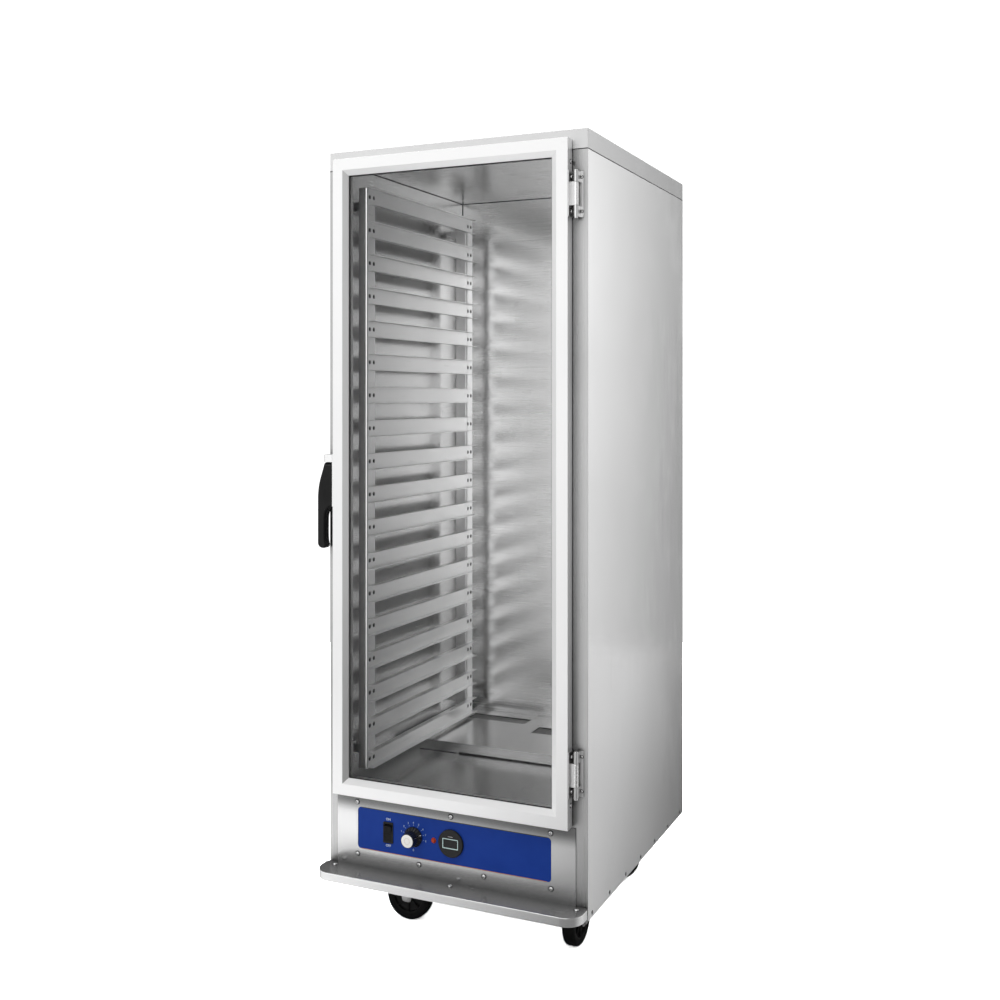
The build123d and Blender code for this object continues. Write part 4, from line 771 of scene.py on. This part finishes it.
dash.transform(gauge_place @ Matrix.Translation((0, 0, 15.5)))
piece("gauge_dash", dash, DASH_INK, "cabinet")
RIM_PROFILE = [
    (30.3, -4.2), (30.5, -1.4), (29.6, -0.2), (28.4, 0.35), (27.2, 0.25), (26.4, -0.3), (26.4, -0.6),
]
rim = lathe(RIM_PROFILE, 96, True)
rim.transform(aim(GAUGE_AT, (0, -1, 0), MM))
piece("gauge_rim", rim, MATERIALS["gauge_metal"], "cabinet")

lamp_low, lamp_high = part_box("indicator_lamp")
LAMP_AT = Vector(((lamp_low.x + lamp_high.x) / 2, label_low.y, (lamp_low.z + lamp_high.z) / 2))
LENS_PROFILE = [
    (0, -22), (4.6, -22), (5.0, -0.5), (6.0, -0.1), (6.0, 1.1), (5.4, 1.5), (5.1, 1.6), (4.6, 3.2),
    (3.6, 4.3), (2.0, 4.9), (0, 5.0),
]
lens = lathe(LENS_PROFILE, 48)
lens.transform(aim(LAMP_AT, (0, -1, 0), MM))
piece("lamp_lens_dome", lens, MATERIALS["lamp_lens"], "cabinet", ["indicator_lamp"])

# ---- door: seals round the pane and against the cabinet ------------------------------
stile_left, stile_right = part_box("door_stile_left"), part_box("door_stile_right")
rail_top, rail_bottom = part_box("door_rail_top"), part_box("door_rail_bottom")
SIGHT_X = (stile_left[1].x, stile_right[0].x)
SIGHT_Z = (rail_bottom[1].z, rail_top[0].z)
PANE_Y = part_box("door_glass")[0].y
seal = bmesh.new()
seal_profile = [(-0.2, 0.0), (-0.2, -1.9), (0.5, -2.0), (1.3, -1.5), (1.9, -0.7), (2.0, 0.0)]
rect_ring(seal, SIGHT_X, SIGHT_Z, [(inset * MM, PANE_Y + y * MM) for inset, y in seal_profile])
piece("pane_seal", seal, SEAL_AND_PAINTED_SHADE, "door", (), 50)

gasket_low, gasket_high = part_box("door_gasket")
bulb = bmesh.new()
BULB_WIDTH = 9.5 * MM
gasket_y = (gasket_low.y + gasket_high.y) / 2
deep = (gasket_high.y - gasket_low.y) / 2
bulb_foot = gasket_y - deep * 0.6
bulb_profile = [
    (0.0, bulb_foot), (0.3 * MM, gasket_low.y),
    (BULB_WIDTH - 0.3 * MM, gasket_low.y), (BULB_WIDTH, bulb_foot),
]
for step in range(9):
    angle = math.pi * step / 8
    across = BULB_WIDTH / 2 + 4.5 * MM * math.cos(angle)
    bulb_profile.append((across, gasket_y + deep * math.sin(angle) ** 0.7))
rect_ring(bulb, (gasket_low.x, gasket_high.x), (gasket_low.z, gasket_high.z), bulb_profile)
piece("door_gasket_bulb", bulb, MATERIALS["gasket_rubber"], "door", ["door_gasket"], 50)

# ---- hinges: rounded knuckles over the pins ----------------------------------------
def knuckle(bm, axis_x, axis_y, low, high, radius):
    """Add one knuckle with rounded ends, its axis upright."""
    soft = 0.7 * MM
    half = [(0, low), (radius - soft, low), (radius, low + soft)]
    other_half = [(radius, high - soft), (radius - soft, high), (0, high)]
    absorb(bm, lathe(half + other_half, 40), Matrix.Translation((axis_x, axis_y, 0)))


fixed_knuckles, door_knuckles = bmesh.new(), bmesh.new()
for points in lumps("hinge_pins"):
    low, high = span_of(points)
    pin_x, pin_y, tall = (low.x + high.x) / 2, (low.y + high.y) / 2, high.z - low.z
    knuckle(fixed_knuckles, pin_x, pin_y, low.z + 0.03 * tall, low.z + 0.245 * tall, 5.0 * MM)
    knuckle(fixed_knuckles, pin_x, pin_y, low.z + 0.755 * tall, low.z + 0.97 * tall, 5.0 * MM)
    knuckle(door_knuckles, pin_x, pin_y, low.z + 0.265 * tall, low.z + 0.735 * tall, 5.6 * MM)
piece("hinge_frame_knuckles", fixed_knuckles, MATERIALS["chrome_trim"], "cabinet")
piece("hinge_door_knuckles", door_knuckles, MATERIALS["chrome_trim"], "door")

# ---- rack: rolled front bends, real in shape, in brighter steel as a painted highlight ---
bends = bmesh.new()
for points in lumps("rack_posts"):
    low, high = span_of(points)
    left = low.x < (SIGHT_X[0] + SIGHT_X[1]) / 2
    corner_x = high.x if left else low.x
    toward = -1 if left else 1
    outline = [(corner_x + toward * 3 * MM, low.y + 3 * MM)]
    for step in range(7):
        angle = math.pi / 2 * step / 6
        outline.append((
            corner_x + toward * (3 - 4.3 * math.sin(angle)) * MM,
            low.y + (3 - 4.3 * math.cos(angle)) * MM,
        ))
    bar = bmesh.new()
    ends = [[bar.verts.new((x, y, z)) for x, y in outline] for z in (low.z + 0.2 * MM, high.z - 0.2 * MM)]
    bar.faces.new(ends[0])
    bar.faces.new(ends[1])
    for i in range(len(outline)):
        j = (i + 1) % len(outline)
        bar.faces.new((ends[0][i], ends[0][j], ends[1][j], ends[1][i]))
    absorb(bends, bar)
piece("rack_post_bends", bends, BEND_PAINTED_HIGHLIGHT, "cabinet")

# ---- dark joint lines: under the top cover and in the liner's corners ----------------
panel_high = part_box("side_panel_right")[1]
panel_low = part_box("side_panel_left")[0]
cover_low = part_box("top_cover")[0]
case_back_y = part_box("back_panel")[1].y
seam = bmesh.new()
seam_foot, seam_top = panel_high.z - 0.4 * MM, cover_low.z + 0.5 * MM
seam_rows = []
for inset, z in ((-0.12, seam_foot), (-0.12, seam_top), (1.0, seam_top), (1.0, seam_foot)):
    x0, x1 = panel_low.x + inset * MM, panel_high.x - inset * MM
    y0, y1 = cover_low.y + inset * MM, case_back_y - inset * MM
    seam_rows.append([seam.verts.new(p) for p in ((x0, y0, z), (x1, y0, z), (x1, y1, z), (x0, y1, z))])
bridge_loop(seam, seam_rows)
piece("cover_seam", seam, SEAL_AND_PAINTED_SHADE, "cabinet")

ceiling_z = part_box("liner_ceiling")[0].z
back_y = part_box("liner_back")[0].y
left_x, right_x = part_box("liner_left")[1].x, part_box("liner_right")[0].x
floor_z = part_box("liner_floor")[1].z
front_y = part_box("liner_ceiling")[0].y
LINE = 1.3 * MM
corners = bmesh.new()
for low, high in (
    ((left_x, back_y - LINE, ceiling_z - LINE), (right_x, back_y, ceiling_z)),
    ((left_x, back_y - LINE, floor_z), (left_x + LINE, back_y, ceiling_z)),
    ((right_x - LINE, back_y - LINE, floor_z), (right_x, back_y, ceiling_z)),
    ((left_x, front_y + 0.02, ceiling_z - LINE), (left_x + LINE, back_y, ceiling_z)),
    ((right_x - LINE, front_y + 0.02, ceiling_z - LINE), (right_x, back_y, ceiling_z)),
):
    absorb(corners, box_mesh(low, high, 0.2 * MM))
piece("liner_corner_lines", corners, SEAL_AND_PAINTED_SHADE, "cabinet")

# ---- heater cover: rear flange, guards in its slots, painted shade in the outlet and painted shadow under its feet ---
heater_low, heater_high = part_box("heater_cover")
flange = box_mesh(
    (heater_low.x, heater_high.y - 1 * MM, heater_high.z - 1.3 * MM),
    (heater_high.x, back_y - 0.3 * MM, heater_high.z - 0.1 * MM),
    0.4 * MM,
)
piece("cover_rear_flange", flange, COVER_STEEL, "cabinet")
WIRE_PITCH = 6 * MM
SLOT_LAP = 2.5 * MM
guards = bmesh.new()
for opening in frame["record"]["physics"]["openings"]:
    if opening["name"] not in ("fan_intake", "rear_air_slot"):
        continue
    (x0, y0, _), (x1, y1, _) = opening["box_m"]
    x0, y0, x1, y1 = x0 - SLOT_LAP, y0 - SLOT_LAP, x1 + SLOT_LAP, y1 + SLOT_LAP
    guard_z = heater_high.z - 2.6 * MM
    absorb(guards, box_mesh((x0, y0, guard_z - 1 * MM), (x1, y1, guard_z - 0.4 * MM), 0.1 * MM))
    for index in range(int((x1 - x0) / WIRE_PITCH)):
        start = Matrix.Translation((x0 + (index + 0.5) * WIRE_PITCH, y0, guard_z))
        wire = lathe([(0, 0), (0.6 * MM, 0), (0.6 * MM, y1 - y0), (0, y1 - y0)], 8)
        absorb(guards, wire, start @ TO_BACK)
piece("cover_slot_guards", guards, SLOT_MESH_AND_SHADE, "cabinet")
# Painted shade: a grey strip fills the outlet gap at the tone of its shaded inside.
OUTLET_INSET = 111 * MM
outlet = box_mesh(
    (heater_low.x + OUTLET_INSET, heater_low.y + 0.5 * MM, floor_z + 1.6 * MM),
    (heater_high.x - OUTLET_INSET, heater_low.y + 1.1 * MM, floor_z + 3.9 * MM),
    0.15 * MM,
)
piece("cover_outlet_lip", outlet, SLOT_MESH_AND_SHADE, "cabinet")
# Painted shadow: dark strips along the front foot of the cover's two ends, where it stands on the floor.
foot = bmesh.new()
FOOT_LENGTH = 104 * MM
foot_y, foot_z = (heater_low.y - 0.5 * MM, heater_low.y + 0.3 * MM), (floor_z, floor_z + 1.3 * MM)
for x0, x1 in ((heater_low.x, heater_low.x + FOOT_LENGTH), (heater_high.x - FOOT_LENGTH, heater_high.x)):
    absorb(foot, box_mesh((x0, foot_y[0], foot_z[0]), (x1, foot_y[1], foot_z[1]), 0.15 * MM))
piece("cover_foot_seal", foot, SEAL_AND_PAINTED_SHADE, "cabinet")


# ---- casters, in millimetres about each swivel ---------------------------------------
TYRE_HALF_WIDTH = 15.0
CROWN_LOW, CROWN_HIGH = 118.0, 122.0
FORK_SHEET = 2.4
NUT_HEIGHT = 5.0
HUB_RIBS = 8


def joint_named(name):
    """The frame's joint of a name."""
    return next(joint for joint in frame["joints"] if joint["name"] == name)


def fork_half_width(node):
    """Half the width between the outer faces of a fork's legs, inside the axle's nuts."""
    low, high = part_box(node)
    return (min(high.x - low.x, high.y - low.y) / MM) / 2 - NUT_HEIGHT


def both_sides(profile):
    """A closed outline from the profile of a wheel's one side and its mirror image."""
    return profile + [(radius, -height) for radius, height in reversed(profile)]


def tyre_mesh(radius):
    """A tyre with rounded shoulders."""
    side = -TYRE_HALF_WIDTH
    profile = [
        (41, side + 1), (47, side + 0.2), (51, side), (54, side + 1.6), (56.2, side + 4.2),
        (radius, side + 8),
    ]
    return lathe(both_sides(profile), 112, True)


def hub_mesh():
    """A dished hub with ribs between its bore and its rim."""
    profile = [
        (6.4, -17), (13, -17), (14, -16), (14.4, -8), (16, -6.5), (33, -5.5), (36, -7), (38, -12.8),
        (41.2, -13.2),
    ]
    hub = lathe(both_sides(profile), 72, True)
    for rib in range(HUB_RIBS):
        web = box_mesh((13.5, -1.3, -11.5), (38.2, 1.3, 11.5), 0.5)
        absorb(hub, web, Matrix.Rotation(math.tau * rib / HUB_RIBS, 4, "Z"))
    return hub


def fork_mesh(trail, radius, reach, top):
    """A pressed fork: two legs, axle pin and nuts, crown and the ball race above it."""
    leg = rounded([
        (-26, CROWN_HIGH), (30, CROWN_HIGH), (trail + 12, radius + 6), (trail + 12, radius - 12),
        (trail - 12, radius - 12), (trail - 12, radius + 4), (-14, CROWN_LOW - 14), (-26, CROWN_LOW - 14),
    ], 8, 6)
    nut = [(0, 0), (8.0, 0), (8.5, 0.6), (8.5, 4.2), (7.6, NUT_HEIGHT), (0, NUT_HEIGHT)]
    fork = bmesh.new()
    for side in (-1, 1):
        faces = (side * reach, side * (reach - FORK_SHEET))
        outward = Matrix.Translation((trail, faces[0], radius)) @ Matrix.Rotation(-side * math.pi / 2, 4, "X")
        absorb(fork, plate_mesh(leg, min(faces), max(faces), 0.5))
        absorb(fork, lathe([(0, 0), (12, 0), (11, 0.9), (6, 1.1), (0, 1.1)], 32), outward)
        absorb(fork, lathe(nut, 6), outward)
    absorb(fork, box_mesh((-26, -reach, CROWN_LOW), (30, reach, CROWN_HIGH), 1.0))
    race = [
        (10, CROWN_HIGH - 1), (25, CROWN_HIGH - 1), (24.4, CROWN_HIGH + 1.5), (22.6, CROWN_HIGH + 3.2),
        (23.8, CROWN_HIGH + 4.6), (24, top - 0.4), (23, top), (10, top),
    ]
    absorb(fork, lathe(race, 64))
    pin = lathe([(0, -reach), (5.9, -reach), (5.9, reach), (0, reach)], 24)
    absorb(fork, pin, Matrix.Translation((trail, 0, radius)) @ TO_BACK)
    return fork


def caster(corner):
    """A rounded tyre on a ribbed hub, held by a pressed fork, in place of one caster's nodes."""
    fork_node, wheel_node = f"caster_fork_{corner}", f"caster_wheel_{corner}"
    fork_body, wheel_body = f"{fork_node}_body", f"{wheel_node}_body"
    swivel = Vector(joint_named(f"swivel_{corner}")["pos_m"])
    low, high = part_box(wheel_node)
    centre = (low + high) / 2
    ahead = Vector((centre.x - swivel.x, centre.y - swivel.y, 0))
    trail, radius = ahead.length / MM, centre.z / MM
    turn = Matrix.Rotation(math.atan2(ahead.y, ahead.x), 4, "Z")
    upright = Matrix.Translation((swivel.x, swivel.y, 0)) @ turn @ Matrix.Scale(MM, 4)
    axle = upright @ Matrix.Translation((trail, 0, radius)) @ TO_BACK

    tyre = tyre_mesh(radius)
    tyre.transform(axle)
    piece(f"tyre_{corner}", tyre, MATERIALS["tyre_rubber"], wheel_body, [wheel_node])
    hub = hub_mesh()
    hub.transform(axle)
    piece(f"hub_{corner}", hub, HUB_PLASTIC, wheel_body, (), 30)
    fork = fork_mesh(trail, radius, fork_half_width(fork_node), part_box(fork_node)[1].z / MM)
    fork.transform(upright)
    piece(f"fork_{corner}", fork, MATERIALS["zinc_metal"], fork_body, [fork_node], 30)


for corner in ("front_left", "front_right", "rear_left", "rear_right"):
    caster(corner)

# ---- floor, light and camera -------------------------------------------------------
FLOOR_RADIUS = 3.2
FLOOR_SIDES = 96
FLOOR_WHITE = 9.0
WORLD_WHITE = 1.25

# Grey levels that the steel reflects, as (degrees, level). Headings run from the front
# (-180) by the left, back and right to the front, heights from straight down to straight up.
COMPASS = (
    (-180, 1.2), (-158, 1.2), (-142, 1.25), (-125, 0.85), (-90, 0.75), (-40, 0.5), (0, 0.06), (11, 0.03),
    (14.6, 0.1), (18.3, 0.72), (22, 1.38), (28, 1.45), (70, 1.0), (100, 0.4), (138, 0.35), (152, 1.4),
    (165, 2.6), (180, 1.2),
)
HEIGHTS = (
    (-90, 0.55), (-25, 0.55), (-6, 0.82), (0, 0.94), (7, 1.04), (12, 1.02), (22, 0.45), (50, 0.4),
    (75, 0.9), (90, 1.1),
)


def white_to_camera(tree, source, level):
    """White where the camera looks straight at it, and the given colour elsewhere."""
    path = add(tree, "ShaderNodeLightPath")
    shown = add(tree, "ShaderNodeMix", data_type="RGBA")
    tree.links.new(path.outputs["Is Camera Ray"], shown.inputs["Factor"])
    tree.links.new(source, shown.inputs[6])
    shown.inputs[7].default_value = (level, level, level, 1)
    return shown.outputs[2]


def painted_floor_light(tree):
    """Painted light and shade in the floor's grey for all but camera rays: in front bright on the left, behind
    bright on the right, faded far left.
    """
    coords = add(tree, "ShaderNodeTexCoord")
    slanted = add(tree, "ShaderNodeVectorMath", operation="DOT_PRODUCT")
    slanted.inputs[1].default_value = (1.0, -0.283, 0.0)
    tree.links.new(coords.outputs["Object"], slanted.inputs[0])
    place = axes_of(tree, "Object")
    beside = ramp_range(tree, slanted.outputs["Value"], 0.28, 1.5, 0.19, 0.5)
    leftward = ramp_range(tree, place["X"], 1.55, 0.35, -0.5, 0.2)
    frontal = ramp_range(tree, place["Y"], 1.0, 0.0, -0.5, 0.0)
    aside = ramp_range(tree, place["X"], 0.5, 1.0, -1.6, -1.1)
    tone = add(tree, "ShaderNodeMix")
    tree.links.new(frontal, tone.inputs["Factor"])
    tree.links.new(beside, tone.inputs["A"])
    tree.links.new(leftward, tone.inputs["B"])
    faded = add(tree, "ShaderNodeMath", operation="MULTIPLY")
    tree.links.new(tone.outputs["Result"], faded.inputs[0])
    tree.links.new(aside, faded.inputs[1])
    return faded.outputs["Value"]


def make_floor():
    """A plain round floor, white to the camera, with painted light and shade for all other rays."""
    angles = [math.tau * i / FLOOR_SIDES for i in range(FLOOR_SIDES)]
    rim = [(FLOOR_RADIUS * math.cos(angle), FLOOR_RADIUS * math.sin(angle), 0.0) for angle in angles]
    mesh = bpy.data.meshes.new("floor")
    mesh.from_pydata(rim, [], [tuple(range(FLOOR_SIDES))])
    material, tree, shader = new_material("floor")
    tree.nodes.remove(shader)
    matt = add(tree, "ShaderNodeBsdfDiffuse")
    tree.links.new(matt.outputs["BSDF"], tree.nodes["Material Output"].inputs["Surface"])
    tree.links.new(white_to_camera(tree, painted_floor_light(tree), FLOOR_WHITE), matt.inputs["Color"])
    mesh.materials.append(material)
    floor = bpy.data.objects.new("floor", mesh)
    bpy.context.scene.collection.objects.link(floor)


def make_studio():
    """A world that is white to the camera, and soft grey bands for all other light."""
    world = bpy.data.worlds.new("studio")
    bpy.context.scene.world = world
    world.use_nodes = True
    tree = world.node_tree
    directions = add(tree, "ShaderNodeTexCoord")
    split = add(tree, "ShaderNodeSeparateXYZ")
    tree.links.new(directions.outputs["Generated"], split.inputs["Vector"])
    heading = add(tree, "ShaderNodeMath", operation="ARCTAN2")
    tree.links.new(split.outputs["X"], heading.inputs[0])
    tree.links.new(split.outputs["Y"], heading.inputs[1])
    rise = add(tree, "ShaderNodeMath", operation="ARCSINE")
    tree.links.new(split.outputs["Z"], rise.inputs[0])
    turn = ramp_range(tree, heading.outputs["Value"], 0.0, 1.0, -math.pi, math.pi)
    lift = ramp_range(tree, rise.outputs["Value"], 0.0, 1.0, -math.pi / 2, math.pi / 2)
    around = brightness_ramp(tree, turn, [((angle + 180) / 360, level) for angle, level in COMPASS])
    upward = brightness_ramp(tree, lift, [((angle + 90) / 180, level) for angle, level in HEIGHTS])
    background = tree.nodes["Background"]
    shown = white_to_camera(tree, multiplied(tree, around, upward), WORLD_WHITE)
    tree.links.new(shown, background.inputs["Color"])
    background.inputs["Strength"].default_value = 1.0


def area_light(name, place, target, size, power):
    """A soft rectangular light aimed at a point."""
    data = bpy.data.lights.new(name, "AREA")
    data.shape = "RECTANGLE"
    data.size, data.size_y = size
    data.energy = power
    lamp = bpy.data.objects.new(name, data)
    lamp.location = place
    lamp.rotation_euler = (Vector(target) - Vector(place)).to_track_quat("-Z", "Y").to_euler()
    bpy.context.scene.collection.objects.link(lamp)


def make_camera():
    """A level camera ahead of the cabinet and to its right."""
    data = bpy.data.cameras.new("camera")
    data.lens = 42.68
    data.sensor_width = 36.0
    data.shift_y = -0.1015
    data.clip_end = 200
    camera = bpy.data.objects.new("camera", data)
    camera.location = (1.1781, -2.6570, 1.2307)
    camera.rotation_euler = (math.radians(90), 0, math.radians(24.45))
    bpy.context.scene.collection.objects.link(camera)
    bpy.context.scene.camera = camera


make_floor()
make_studio()
area_light("key", (-1.3, -1.7, 4.2), (0, 0, 0.9), (2.0, 2.0), 60)
make_camera()
bpy.context.scene.view_settings.view_transform = "Standard"
bpy.context.scene.cycles.use_denoising = True
